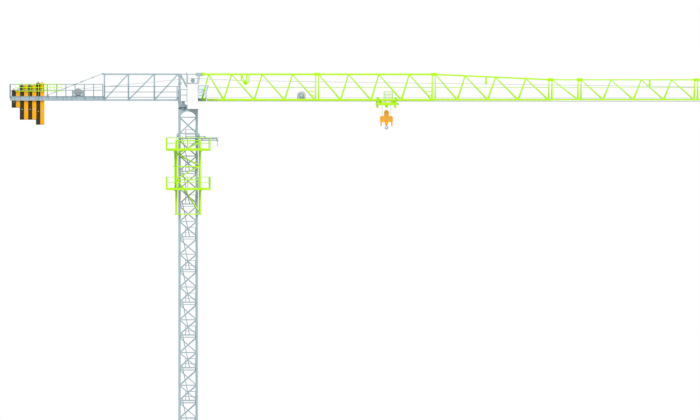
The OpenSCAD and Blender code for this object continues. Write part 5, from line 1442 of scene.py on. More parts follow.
@dataclass
class CabFittings(Fittings):
    """Window seals, door fittings, gutters, coping and the wiper of the cab."""

    mid_y: float = -0.805
    half_w: float = 0.290
    floor_z: float = 14.162
    height: float = 1.065
    # strips of rubber, with their width and how far they stand out
    seal: Pair = (0.015, 0.006)
    seam: Pair = (0.008, 0.003)
    strip_step: float = 0.0006
    # the door towards the tower head: its edges along X and above the floor
    door: tuple[float, float, float, float] = (0.042, 0.266, 0.070, 0.998)
    hinge: Pair = (0.014, 0.035)
    hinge_out: Pair = (0.006, 0.004)
    hinges: tuple[float, ...] = (0.17, 0.53, 0.89)
    grip: Pair = (0.20, 0.33)
    grip_t: float = 0.014
    # plain panel on the outer side
    panel_at: Pair = (0.154, 0.6825)
    panel_size: Point = (0.236, 0.005, 0.635)
    screw_x: float = 0.110
    screw_pitch: float = 0.145
    # roof
    gutter: Pair = (0.014, 0.010)
    gutter_x: Pair = (-0.030, 0.395)
    rib: Pair = (0.022, 0.010)
    ribs: tuple[float, ...] = (0.02, 0.10, 0.18, 0.26, 0.34)
    rib_rise: float = 0.003
    # sheet folded over the rear edge: where it starts, folds and ends along X
    sheet: float = 0.004
    coping_x: tuple[float, float, float] = (-0.0605, -0.0295, 0.006)
    # wiper
    wiper_foot: Point = (0.792, -0.985, 0.775)

    @property
    def windows(self) -> list[list[Pair]]:
        """Corners of the front side windows, along X and above the floor."""
        return [
            [(0.377, 0.330), (0.740, 0.330), (0.740, 0.706), (0.377, 0.706)],
            [(0.377, 0.734), (0.748, 0.734), (0.840, 1.005), (0.377, 1.005)],
        ]

    @property
    def door_window(self) -> list[Pair]:
        """Corners of the door's window, along X and above the floor."""
        return [(0.060, 0.390), (0.248, 0.390), (0.248, 0.975), (0.060, 0.975)]

    def outline(self, corners: Sequence[Pair], side: int, width: float, out: float) -> list[Matrix]:
        """Lays a strip along each edge of a shape on one side of the cab.

        Args:
            corners: The shape's corners.
            side: 1 for the side towards the tower head and -1 for the outer one.
            width: Width of the strip.
            out: How far the strip stands out of the sheet.

        Returns:
            One place for each edge.
        """
        y = self.mid_y + side * (self.half_w + (out - MM) / 2)
        places = []
        for k, (a, b) in enumerate(zip(corners, [*corners[1:], corners[0]])):
            # every other strip is a little thinner, and all end just inside the corner,
            # so that no two faces lie in one plane there
            thin = k % 2 * self.strip_step
            run = Vector((b[0] - a[0], b[1] - a[1])).normalized() * (width / 2 - self.strip_step - thin)
            foot = (a[0] - run.x, y, self.floor_z + a[1] - run.y)
            head = (b[0] + run.x, y, self.floor_z + b[1] + run.y)
            places.append(place_along(foot, head, width, out + MM - 2 * thin))
        return places

    def seals(self) -> None:
        """Frames every side window with a rubber seal."""
        places = [p for s in SIDES for w in self.windows for p in self.outline(w, s, *self.seal)]
        places += self.outline(self.door_window, 1, *self.seal)
        self.lay(self.stock.bar, "window_seals", places, Coat.SEAL)

    def blank_panel(self) -> None:
        """Screws a plain panel over the rear opening of the outer side."""
        y = self.mid_y - self.half_w
        x, z = self.panel_at[0], self.floor_z + self.panel_at[1]
        panel = add_block((x, y - 0.0015, z), self.panel_size)
        with editing(panel, SelectBy.FACES, lambda middle, normal: normal.y < -FACING):
            bpy.ops.mesh.inset(thickness=0.012)
            bpy.ops.transform.translate(value=(0, -0.002, 0))
        bevel_all(panel, MM)
        self.hand_over(panel, "cab_blank_panel", Coat.WHITE)
        screws = [
            place_on((x + s * self.screw_x, y - 0.0035, z + k * self.screw_pitch), (0, -1, 0), 0.012)
            for s in SIDES for k in range(-2, 3)
        ]
        self.lay(self.stock.pin, "cab_panel_screws", screws, Coat.WHITE)

    def door_fittings(self) -> None:
        """Hangs the door that faces the tower head on three hinges, with its gap and handle."""
        x0, x1, z0, z1 = self.door
        seam = self.outline([(x0, z0), (x1, z0), (x1, z1), (x0, z1)], 1, *self.seam)
        self.lay(self.stock.bar, "door_seam", seam, Coat.SEAL)
        y = self.mid_y + self.half_w
        width, half = self.hinge
        dx, dy = self.hinge_out
        hinges = [
            place_along(*((x0 - dx, y + dy, self.floor_z + z + s * half) for s in SIDES), width)
            for z in self.hinges
        ]
        self.lay(self.stock.rod, "door_hinges", hinges, Coat.ZINC)
        x, out = x1 - 0.010, y + 0.024
        low, high = (self.floor_z + z for z in self.grip)
        places = [place_along((x, out, low), (x, out, high), self.grip_t)]
        for z in (low + 0.010, high - 0.010):
            places.append(place_along((x, y - MM, z), (x, out, z), self.grip_t - 2 * MM))
        self.lay(self.stock.rod, "door_handle", places, Coat.RUBBER)

    def gutters(self) -> None:
        """Runs a rain gutter along both edges of the roof, and ribs across it."""
        top = self.floor_z + self.height
        places = []
        for s in SIDES:
            y = self.mid_y + s * (self.half_w + 0.004)
            ends = [(x, y, top - 0.020) for x in self.gutter_x]
            places.append(place_along(*ends, *self.gutter))
        half = self.half_w - 0.025
        for x in self.ribs:
            ends = [(x, self.mid_y + s * half, top + self.rib_rise) for s in SIDES]
            places.append(place_along(*ends, *self.rib, side=UP))
        self.lay(self.stock.bar, "roof_gutters", places, Coat.WHITE)

    def coping(self) -> None:
        """Folds a sheet over the rear edge of the roof, from the back wall to the roof's flat."""
        top = self.floor_z + self.height
        rear, fold, front = self.coping_x
        low = top - (fold - rear)
        folds = (
            ((rear, low), (fold, top + MM)),
            ((fold - 2 * MM, top + 1.5 * MM), (front, top + 1.5 * MM)),
            ((rear, low - 0.020), (rear, low + MM)),
        )
        width = 2 * self.half_w + 0.006
        places = []
        for k, ends in enumerate(folds):
            # each strip is a little narrower than the one before, so that no two ends lie in one plane
            a, b = ((x, self.mid_y, z) for x, z in ends)
            places.append(place_along(a, b, self.sheet, width + (1 - k) * 2 * MM))
        self.lay(self.stock.bar, "cab_rear_coping", places, Coat.WHITE)

    def wiper(self) -> None:
        """Parks a wiper on the sloping windscreen."""
        foot = Vector(self.wiper_foot) + Vector(UP) * self.floor_z
        lean = Vector((0.3, 0, 1)).normalized()
        tip = foot + Vector((0, 0.16, 0)) + lean * 0.15
        parts = [
            place_along(foot, tip, 0.009, 0.006),
            place_along(tip - lean * 0.11, tip + lean * 0.07, 0.012, 0.007),
            place_along(foot - Vector((0.026, 0, 0)), foot + Vector((0.006, 0, 0)), 0.024),
        ]
        self.lay(self.stock.bar, "windscreen_wiper", parts, Coat.RUBBER)

    def build(self) -> None:
        """Makes the cab's fittings."""
        self.shop.dress(Coat.WHITE, "cab_shell")
        self.shop.dress(Coat.GLASS, "cab_glazing")
        self.seals()
        self.blank_panel()
        self.door_fittings()
        self.gutters()
        self.coping()
        self.wiper()


@dataclass
class CounterJibFittings(Fittings):
    """Stiffeners, slab sockets, node plates and the hoist winch's covers."""

    # deck beams, and where stiffeners stand along them
    beam_y: float = 0.3675
    beam_low: float = 14.524
    beam_high: float = 14.712
    web_y: float = 0.0185
    stiffener: Pair = (0.010, 0.029)
    stiffener_in: float = 0.008
    stiffener_x: tuple[float, ...] = (-7.433, -6.531, -6.433, -6.270, -5.372, -4.987, -4.431, -3.850)
    # slabs: two short ones at the rear, four longer and two longest towards the mast
    slab_start: float = -7.536
    slab_pitch: float = 0.173
    slab_w: float = 0.171
    slab_y: float = 0.3285
    slab_kinds: tuple[int, ...] = (0, 0, 1, 1, 1, 1, 2, 2)
    socket_z: tuple[float, ...] = (14.455, 14.152, 14.066)
    seat_z: float = 0.184
    slab_rise: tuple[float, ...] = (0.265, 0.466, 0.560)
    lift_y: float = 0.20
    lift_half: float = 0.030
    lift_t: float = 0.014
    # knots of the truss
    knots: tuple[float, ...] = (-0.520, -1.446, -2.553, -3.580)
    face: float = 0.3975
    plate_size: Pair = (0.052, 0.007)
    plate_seat: float = 0.003
    knot_drop: float = 0.010
    bolt_pitch: float = 0.040
    # tie bars, which run from the upper knot down to the deck, with couplings at two places along X
    tie_high: Point = (-3.660, 0, 15.679)
    tie_low: Point = (-6.013, 0, 14.762)
    couplings: Pair = (-4.088, -4.550)
    cheek_y: float = 0.017
    cheek_size: Pair = (0.052, 0.008)
    # hoist winch
    winch: Pair = (-4.713, 14.886)
    gearbox_r: float = 0.132
    gearbox_bolts: int = 12
    gearbox_bolt_r: float = 0.112
    motor_r: float = 0.096
    fins: int = 28
    fin_size: Pair = (0.013, 0.070)
    fin_in: float = 0.042
    box_size: Point = (0.070, 0.056, 0.040)
    winding: Winding = Winding(rope_r=0.006, drum_r=0.126, first=-0.139, last=0.139, turns=14, steps=32)

    def dress(self) -> None:
        """Gives the counter jib's nodes their finishes."""
        self.shop.dress(Coat.STEEL, "counter_jib_truss", "rear_deck", "tie_bars")
        self.shop.dress(Coat.STEEL, "hoist_winch_frame", "hoist_drum")
        self.shop.dress(Coat.DARK, "counter_jib_railings")
        self.shop.dress(Coat.CHARCOAL_SLAB, "counterweights_dark")
        self.shop.dress(Coat.AMBER_SLAB, "counterweights_yellow")
        self.shop.dress(Coat.LIME, "sign_frame")
        self.shop.dress(Coat.ROPE, "hoist_rope")

    def stiffeners(self) -> None:
        """Welds stiffeners into both sides of the deck beams' webs."""
        heights = (self.beam_low + self.stiffener_in, self.beam_high - self.stiffener_in)
        places = [
            place_along(*((x, s * self.beam_y + o * self.web_y, z) for z in heights), *self.stiffener)
            for x in self.stiffener_x for s, o in CORNERS
        ]
        self.lay(self.stock.bar, "deck_web_stiffeners", places, Coat.STEEL)

    @property
    def slabs(self) -> list[tuple[float, int]]:
        """Middle of each slab along X, and which kind it is."""
        first = self.slab_start + self.slab_w / 2
        return [(first + k * self.slab_pitch, kind) for k, kind in enumerate(self.slab_kinds)]

    def slab_sockets(self) -> None:
        """Casts a lifting socket in each side of every slab."""
        places = []
        for x, kind in self.slabs:
            places += both_faces(x, self.slab_y - MM, self.socket_z[kind], 0.044)
        self.lay(self.stock.socket, "slab_sockets", places, Coat.MACHINE)

    def slab_lugs(self) -> None:
        """Sets two bent lifting bars in the top of every slab."""
        places = []
        for x, kind in self.slabs:
            foot = PLAN.low_z + self.seat_z + self.slab_rise[kind]
            head = foot + 0.020
            for y in (-self.lift_y, self.lift_y):
                for dx in (-self.lift_half, self.lift_half):
                    places.append(place_along((x + dx, y, foot), (x + dx, y, head), self.lift_t))
                reach = self.lift_half + 0.006
                places.append(place_along((x - reach, y, head), (x + reach, y, head), self.lift_t))
        self.lay(self.stock.rod, "slab_lifting_bars", places, Coat.ZINC)

    def node_plates(self) -> None:
        """Bolts plates on the truss where its bars meet the chords."""
        plates = []
        nuts = []
        for x in self.knots:
            for z in (PLAN.low_z - self.knot_drop, PLAN.high_z):
                for s in SIDES:
                    ends = [(x + k * 0.060, s * (self.face + self.plate_seat), z) for k in SIDES]
                    plates.append(place_along(*ends, *self.plate_size))
                for k in (-1, 0, 1):
                    nuts += both_faces(x + k * self.bolt_pitch, self.face + 2 * self.plate_seat, z, 0.018)
        self.lay(self.stock.bar, "truss_node_plates", plates, Coat.STEEL)
        self.lay(self.stock.nut, "truss_node_bolts", nuts, Coat.ZINC)

    def tie_couplings(self) -> None:
        """Clamps a pair of cheeks with two pins on each joint of the tie bars."""
        high, low = Vector(self.tie_high), Vector(self.tie_low)
        run = (high - low).normalized()
        cheeks = []
        pins = []
        for x in self.couplings:
            spot = high + (low - high) * ((high.x - x) / (high.x - low.x))
            for s, o in CORNERS:
                at = spot + Vector((0, s * self.beam_y + o * self.cheek_y, 0))
                ends = [at + run * k * 0.060 for k in SIDES]
                cheeks.append(place_along(*ends, *self.cheek_size))
                for k in SIDES:
                    seat = at + run * k * 0.032 + Vector((0, o * 0.003, 0))
                    pins.append(place_on(seat, (0, o, 0), 0.028))
        self.lay(self.stock.bar, "tie_coupling_cheeks", cheeks, Coat.STEEL)
        self.lay(self.stock.pin, "tie_coupling_pins", pins, Coat.ZINC)

    def gearbox(self) -> None:
        """Closes the winch's gearbox with a bolted cover that has a stepped hub."""
        x, z = self.winch
        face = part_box("hoist_winch_frame")[0].y
        cover = add_disc(40, self.gearbox_r - 0.003, 0.010, (x, face - 0.004, z), rotation=ACROSS_Y)
        with editing(cover, SelectBy.FACES, lambda middle, normal: normal.y < -FACING):
            bpy.ops.mesh.inset(thickness=0.034)
            extrude_by((0, -0.010, 0))
            bpy.ops.transform.resize(value=(0.94, 1, 0.94), center_override=(x, face, z))
            bpy.ops.mesh.inset(thickness=0.040)
            extrude_by((0, -0.012, 0))
        self.hand_over(cover, "gearbox_cover", Coat.MACHINE)
        centre = Vector((x, face - 0.009, z))
        spots = ring_of(centre, self.gearbox_bolt_r, self.gearbox_bolts, UP, 0.5)
        nuts = [place_on(spot, (0, -1, 0), 0.017) for spot in spots]
        self.lay(self.stock.nut, "gearbox_bolts", nuts, Coat.ZINC)

    def motor(self) -> None:
        """Rings the hoist motor with fins and sets its terminal box on top."""
        x, z = self.winch
        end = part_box("hoist_winch_frame")[1].y
        fins = cooling_fins((x, end - self.fin_in, z), self.motor_r - MM, self.fins, self.fin_size, UP)
        self.lay(self.stock.fin, "hoist_motor_fins", fins, Coat.STEEL)
        box = add_block((x, end - 0.040, z + self.motor_r + 0.022), self.box_size)
        with editing(box, SelectBy.FACES, looks_up):
            bpy.ops.mesh.inset(thickness=0.005)
            extrude_by((0, 0, 0.005))
        bevel_all(box, 1.5 * MM)
        self.hand_over(box, "hoist_terminal_box", Coat.STEEL)

    def build(self) -> None:
        """Makes the counter jib's fittings."""
        self.dress()
        self.stiffeners()
        self.slab_sockets()
        self.slab_lugs()
        self.node_plates()
        self.tie_couplings()
        self.gearbox()
        self.motor()
        self.hand_over(self.winding.wind(*self.winch), "hoist_rope_winding", Coat.ROPE, "hoist_drum")


@dataclass
class JibFittings(Fittings):
    """Pins, handrails, rungs and grating bars of the jib, and its trolley winch."""

    # how far the joints' pins stand from the joint, in the upper chord and in the lower ones
    high_pin_x: float = 0.040
    low_pin_x: float = 0.034
    # handrails, and rungs beside the last diagonal
    handrail: float = 0.019
    handrail_z: float = 15.097
    first_in: float = 0.26
    rung_z: Pair = (14.921, 14.755)
    # frame beside the rope pulley of the first section
    pulley: Pair = (2.451, 15.290)
    frame_x: Pair = (-0.176, 0.149)
    frame_y: float = 0.0305
    post_over: float = 0.030
    # rope guides: place along X, height of the rope and section
    guides: tuple[tuple[float, float, int], ...] = ((12.750, 15.244, 3), (19.773, 15.152, 5))
    cheek: Pair = (0.074, 0.008)
    cheek_y: float = 0.0135
    roller_y: float = 0.0095
    # bars on the walkway's plate, with their edges' distance from a joint and from the plate's end
    rib_pitch: float = 0.040
    rib: Pair = (0.007, 0.009)
    rib_y: float = 0.0862
    rib_rise: float = 0.0098
    joint_gap: float = 0.020
    end_gap: float = 0.012
    # trolley winch
    winch: Pair = (4.841, 14.7606)
    fins: int = 24
    fin_r: float = 0.083
    fin_size: Pair = (0.010, 0.056)
    fin_in: float = 0.034
    bearing_bolts: int = 6
    bearing_r: float = 0.040
    foot_x: float = 0.155
    foot_y: float = 0.125
    foot_z: float = 0.024
    winding: Winding = Winding(rope_r=0.0042, drum_r=0.0995, first=-0.112, last=0.092, turns=16, steps=28)
    # hood over the trolley drum
    hood_r: float = 0.172
    hood_half: float = 0.172
    hood_t: float = 0.004
    skirt_z: float = 14.700
    leg: Pair = (0.018, 0.022)
    leg_y: float = 0.153
    hoop: Pair = (0.007, 0.020)
    hoop_parts: int = 12

    def dress(self) -> None:
        """Gives the jib's nodes their finishes."""
        sections = [f"jib_section_{i}" for i in range(1, 6)]
        self.shop.dress(Coat.LIME, *sections, "jib_tip")
        self.shop.dress(Coat.BRACKET, "rope_brackets")
        self.shop.dress(Coat.GRATING, "jib_walkway")
        self.shop.dress(Coat.STEEL, "trolley_winch_frame")
        self.shop.dress(Coat.MACHINE, "trolley_drum")
        self.shop.dress(Coat.ROPE, "trolley_rope")

    def pins(self) -> None:
        """Puts a headed pin on both sides of each joint of the three chords."""
        places = []
        for k in range(1, len(PLAN.joints) - 1):
            x, z = PLAN.joints[k], PLAN.high_z - PLAN.drop(k)
            for side in SIDES:
                section = k if side < 0 else k + 1
                half = max(0.044, PLAN.chord(section)) / 2
                places += both_faces(x + side * self.high_pin_x, half - MM, z, 0.046)
                low = PLAN.rail_z - PLAN.chord(section) / 2
                for s in SIDES:
                    # flat heads, because the trolley's posts pass 12 mm outside the chords
                    y = s * (PLAN.jib_w + PLAN.chord_heavy) / 2
                    ends = [(x + side * self.low_pin_x, y + s * dy, low) for dy in (-MM, 0.018)]
                    places.append(place_along(*ends, 0.034))
        self.lay(self.stock.pin, "jib_joint_pins", places, Coat.LIME)

    @staticmethod
    def between(section: int, first: float, last: float, z: float, width: float) -> list[Matrix]:
        """Places a level bar in each side of a section, between two distances from its start."""
        x0 = PLAN.joints[section - 1]
        return [
            place_along(*((x0 + x, s * PLAN.side_y(section, x, z), z) for x in (first, last)), width)
            for s in SIDES
        ]

    def handrails(self) -> None:
        """Runs a tube handrail in each side of every section, between its end frames."""
        places = []
        for i in range(1, len(PLAN.joints)):
            first = self.first_in if i == 1 else PLAN.end_in
            last = PLAN.joints[i] - PLAN.joints[i - 1] - PLAN.end_in
            places += self.between(i, first, last, self.handrail_z, self.handrail)
        self.lay(self.stock.rod, "jib_handrails", places, Coat.LIME)

    def pulley_frame(self) -> None:
        """Hangs a welded frame beside the rope pulley of the first section, from two posts."""
        x, z = self.pulley
        left, right = (x + dx for dx in self.frame_x)
        top = PLAN.high_z - PLAN.chord_heavy / 2 - MM
        elbow, end = z + 0.115, z + 0.005
        # each strip has its own thickness, so that no two faces lie in one plane where they cross
        strips = (
            ((left, top), (left, elbow - self.post_over), 0.074, 0.0140),
            ((left, elbow), (x, z), 0.050, 0.0128),
            ((right, top), (right, end - self.post_over), 0.046, 0.0140),
            ((x, z), (right, end), 0.040, 0.0116),
        )
        places = []
        for s in SIDES:
            y = s * self.frame_y
            for a, b, width, thick in strips:
                places.append(place_along((a[0], y, a[1]), (b[0], y, b[1]), width, thick))
        self.lay(self.stock.bar, "rope_pulley_frame", places, Coat.LIME)

    def guide_hangers(self) -> None:
        """Stiffens each rope guide with two cheeks that end in a roller above the rope."""
        cheeks = []
        rollers = []
        for x, rope_z, section in self.guides:
            under = PLAN.high_at(section, x - PLAN.joints[section - 1]) - PLAN.chord(section) / 2
            for s in SIDES:
                ends = [(x, s * self.cheek_y, z) for z in (under - 0.003, rope_z + 0.060)]
                cheeks.append(place_along(*ends, *self.cheek))
            rollers += both_faces(x, self.roller_y, rope_z + 0.066, 0.112)
        self.lay(self.stock.bar, "rope_guide_cheeks", cheeks, Coat.LIME)
        self.lay(self.stock.pin, "rope_guide_rollers", rollers, Coat.LIME)

    def rungs(self) -> None:
        """Adds two rungs from the last diagonal to the end frame of the heavy sections."""
        low_x, high_x = (first + 3 * PLAN.bay_l for first in (PLAN.first_low, PLAN.first_high))
        places = []
        for i in (1, 2):
            last = PLAN.joints[i] - PLAN.joints[i - 1] - PLAN.end_in
            low = PLAN.rail_z - PLAN.chord(i) / 2
            for z in self.rung_z:
                x = high_x + (low_x - high_x) * (PLAN.high_z - z) / (PLAN.high_z - low)
                places += self.between(i, x, last, z, 0.026)
        self.lay(self.stock.bar, "jib_side_rungs", places, Coat.LIME)

    def grating(self) -> None:
        """Lays serrated bars across the walkway plate, from edge strip to edge strip."""
        low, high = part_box("jib_walkway")
        places = []
        for i in range(1, len(PLAN.joints)):
            z = PLAN.walk_z(i) + self.rib_rise
            x = max(PLAN.joints[i - 1] + self.joint_gap, low.x + self.end_gap)
            stop = min(PLAN.joints[i] - self.joint_gap, high.x - self.end_gap)
            for k in range(int((stop - x) / self.rib_pitch) + 1):
                ends = [(x + k * self.rib_pitch, s * self.rib_y, z) for s in SIDES]
                places.append(place_along(*ends, *self.rib, side=UP))
        self.lay(self.stock.bar, "walkway_bars", places, Coat.GRATING)

    def trolley_winch(self) -> None:
        """Fins the trolley winch's motor and bolts its bearings and feet."""
        x, z = self.winch
        low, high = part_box("trolley_winch_frame")
        fins = cooling_fins((x, low.y + self.fin_in, z), self.fin_r, self.fins, self.fin_size, UP)
        self.lay(self.stock.fin, "trolley_motor_fins", fins, Coat.STEEL)
        spots = ring_of(Vector((x, high.y, z)), self.bearing_r, self.bearing_bolts, UP, 0.5)
        nuts = [place_on(spot, AHEAD, 0.013) for spot in spots]
        for sx, sy in CORNERS:
            foot = (x + sx * self.foot_x, sy * self.foot_y, low.z + self.foot_z)
            nuts.append(place_on(foot, UP, 0.018))
        self.lay(self.stock.nut, "trolley_winch_bolts", nuts, Coat.ZINC)

    def hood(self) -> None:
        """Covers the trolley drum with a rounded hood on four legs, open below for the rope."""
        x, z = self.winch
        hood = add_disc(
            48, self.hood_r, 2 * self.hood_half, (x, 0, z), end_fill_type="NOTHING", rotation=ACROSS_Y
        )
        with editing(hood, SelectBy.FACES, lambda middle, normal: middle.z < z):
            bpy.ops.mesh.delete(type="FACE")
        with editing(hood, SelectBy.EDGES, lambda middle, run: middle.z < z + 0.01 and abs(run.y) > FACING):
            extrude_by((0, 0, self.skirt_z - z))
        apply_modifier(hood, "SOLIDIFY", thickness=self.hood_t, offset=-1.0)
        smooth_round(hood, AHEAD)
        self.hand_over(hood, "trolley_winch_hood", Coat.STEEL)
        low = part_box("trolley_winch_frame")[0].z
        frame = []
        for sx, sy in CORNERS:
            leg_x, leg_y = x + sx * (self.hood_r - 0.012), sy * self.leg_y
            foot, head = (leg_x, leg_y, low + 0.020), (leg_x, leg_y, self.skirt_z + 0.030)
            frame.append(place_along(foot, head, *self.leg))
        arc = [math.pi * k / self.hoop_parts for k in range(self.hoop_parts + 1)]
        radius = self.hood_r + 0.002
        for s in SIDES:
            y = s * (self.hood_half - 0.010)
            spots = [(x + radius * math.cos(a), y, z + radius * math.sin(a)) for a in arc]
            frame += [place_along(*ends, *self.hoop) for ends in zip(spots, spots[1:])]
        self.lay(self.stock.bar, "trolley_winch_hood_frame", frame, Coat.DARK)

    def build(self) -> None:
        """Makes the jib's fittings."""
        self.dress()
        self.pins()
        self.handrails()
        self.pulley_frame()
        self.guide_hangers()
        self.rungs()
        self.grating()
        self.trolley_winch()
        self.hood()
        self.hand_over(self.winding.wind(*self.winch), "trolley_rope_winding", Coat.ROPE, "trolley_drum")


@dataclass
class TrolleyFittings(Fittings):
    """Nuts, buffers and basket mesh of the trolley, with the hook block and its falls."""

    body: str = "trolley"
    # axles and posts
    post_y: float = 0.449
    bar: float = 0.044
    half_span: float = 0.381
    beam_z: float = 14.385
    wheel_z: float = 14.6443
    post_bolt_x: float = 0.014
    post_bolt_z: float = 0.030
    # rubber buffers
    buffer: Pair = (0.038, 0.006)
    buffer_y: float = 0.240
    # basket mesh: how many gaps along X, along Y and upwards
    gaps: tuple[int, int, int] = (12, 10, 12)
    floor_z: float = 14.556
    floor_drop: float = 0.002
    basket_in: float = 0.010
    basket_rear: float = 0.022
    basket_top: float = 0.012
    # hook block: its faces, the heights of the middle bolts, and the outer bolts and sheave pins
    block_face: float = 0.032
    middle_bolt_z: tuple[float, float, float] = (13.938, 13.810, 13.681)
    outer_bolt_x: Pair = (-0.167, 0.179)
    outer_bolt_z: float = 13.762
    pin_cap_x: float = 0.1104
    pin_cap_z: float = 13.745
    neck_r: float = 0.103
    # hook latch: its two ends, and its size across
    latch: tuple[Pair, Pair] = ((-0.018, 13.461), (-0.040, 13.411))
    latch_size: Pair = (0.005, 0.034)
    # rope falls
    rings: int = 32
    fall_sides: int = 10

    def dress(self) -> None:
        """Gives the trolley, the block and the hook their finishes."""
        self.shop.dress(Coat.LIME, "trolley_frame", "trolley_basket")
        self.shop.dress(Coat.LIME, "trolley_wheels", "trolley_sheaves")
        self.shop.dress(Coat.MACHINE, "hook_block_sheaves")
        self.shop.dress(Coat.AMBER, "hook_block_plates")
        self.shop.dress(Coat.HOOK, "hook")
        self.shop.dress(Coat.ROPE, "hoist_falls")

    def nuts(self) -> None:
        """Puts nuts on the wheel axles, and bolts on the posts' joints."""
        axle_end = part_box("trolley_wheels")[1].y
        post_face = self.post_y + self.bar / 2
        places = []
        for s in SIDES:
            x = PLAN.trolley_x + s * self.half_span
            places += both_faces(x, axle_end - MM, self.wheel_z, 0.026)
            for dx, dz in CORNERS:
                spot = (x + dx * self.post_bolt_x, post_face, self.beam_z + dz * self.post_bolt_z)
                places += both_faces(*spot, 0.016)
        self.lay(self.stock.nut, "trolley_nuts", places, Coat.ZINC)

    def buffers(self) -> None:
        """Domes the faces of the two rubber buffers."""
        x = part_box("trolley_frame")[1].x + MM
        faces = []
        for s in SIDES:
            face = add_disc(24, *self.buffer, (x, s * self.buffer_y, self.beam_z), rotation=ACROSS_X)
            with editing(face, SelectBy.FACES, lambda middle, normal: normal.x > FACING):
                bpy.ops.mesh.inset(thickness=0.010)
                bpy.ops.transform.translate(value=(0.004, 0, 0))
                bpy.ops.mesh.inset(thickness=0.012)
                bpy.ops.transform.translate(value=(0.002, 0, 0))
            faces.append(face)
        self.hand_over(join(faces), "buffer_faces", Coat.RUBBER)

    def basket(self) -> None:
        """Fills the basket's sides and floor with welded mesh."""
        low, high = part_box("trolley_basket")
        floor, top = self.floor_z, high.z - self.basket_top
        under = floor - self.floor_drop
        x0, x1 = low.x + self.basket_in, high.x - self.basket_in
        y0, y1 = low.y + self.basket_rear, high.y - self.basket_in
        along, across, upwards = self.gaps
        ends = []
        for k in range(along + 1):
            x = x0 + (x1 - x0) * k / along
            ends.append(((x, y1, floor), (x, y1, top)))
            ends.append(((x, y0, under), (x, y1, under)))
        for k in range(across + 1):
            y = y0 + (y1 - y0) * k / across
            ends += [((x, y, floor), (x, y, top)) for x in (x0, x1)]
        for k in range(1, upwards):
            z = floor + (top - floor) * k / upwards
            ends.append(((x0, y1, z), (x1, y1, z)))
            ends += [((x, y0, z), (x, y1, z)) for x in (x0, x1)]
        wires = [place_along(*pair, 0.004) for pair in ends]
        self.lay(self.stock.rod, "basket_mesh", wires, Coat.LIME)

    def block_bolts(self) -> None:
        """Bolts the hook block's plates, caps its sheave pins and covers its neck."""
        x, face = PLAN.trolley_x, self.block_face
        nuts = []
        for z in self.middle_bolt_z:
            nuts += both_faces(x, face, z, 0.026)
        for dx in self.outer_bolt_x:
            nuts += both_faces(x + dx, face, self.outer_bolt_z, 0.024)
        self.lay(self.stock.nut, "block_bolts", nuts, Coat.ZINC, "hook_block")
        caps = []
        for s in SIDES:
            caps += both_faces(x + s * self.pin_cap_x, face, self.pin_cap_z, 0.052)
        self.lay(self.stock.pin, "block_pin_caps", caps, Coat.ZINC, "hook_block")
        neck_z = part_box("hook_block_plates")[1].z - self.neck_r
        covers = both_faces(x, face - MM, neck_z, 0.070)
        self.lay(self.stock.pin, "block_neck_covers", covers, Coat.AMBER, "hook_block")

    def hook_latch(self) -> None:
        """Closes the hook's mouth with a sprung latch."""
        latch = add_block((0, 0, 0.5))
        with editing(latch, SelectBy.FACES, looks_up):
            bpy.ops.transform.resize(value=(1, 0.55, 1))
            extrude_by((0.8, 0, 0.12))
        ends = [(PLAN.trolley_x + dx, 0, z) for dx, z in self.latch]
        latch.data.transform(place_along(*ends, *self.latch_size))
        bevel_all(latch, 0.6 * MM)
        self.hand_over(latch, "hook_latch", Coat.ZINC, "hook")

    def rope_falls(self) -> None:
        """Models the two falls, each as a stack of many rings."""
        low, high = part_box("hoist_falls")
        radius = (high.y - low.y) / 2
        step = (high.z - low.z) / self.rings
        falls = []
        for x in (low.x + radius, high.x - radius):
            fall = add_disc(self.fall_sides, radius, step, (x, 0, low.z + step / 2))
            for _ in range(self.rings - 1):
                with editing(fall, SelectBy.FACES, self.is_top(fall)):
                    extrude_by((0, 0, step))
            smooth_round(fall, UP)
            falls.append(fall)
        piece = join(falls)
        self.shop.coat_piece(piece, "rope_falls", Coat.ROPE)
        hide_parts("hoist_falls")
        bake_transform(piece)
        LOG.info("piece rope_falls: %d faces between trolley and hook_block", len(piece.data.polygons))

    @staticmethod
    def is_top(rope: Thing) -> Callable[[Vector, Vector], bool]:
        """Gives a test for a rope's upper end face."""
        top = max(v.co.z for v in rope.data.vertices)
        return lambda middle, normal: middle.z > top - 0.01 * MM and looks_up(middle, normal)

    def build(self) -> None:
        """Makes everything that hangs from the jib."""
        self.dress()
        self.nuts()
        self.buffers()
        self.basket()
        self.block_bolts()
        self.hook_latch()
        self.rope_falls()


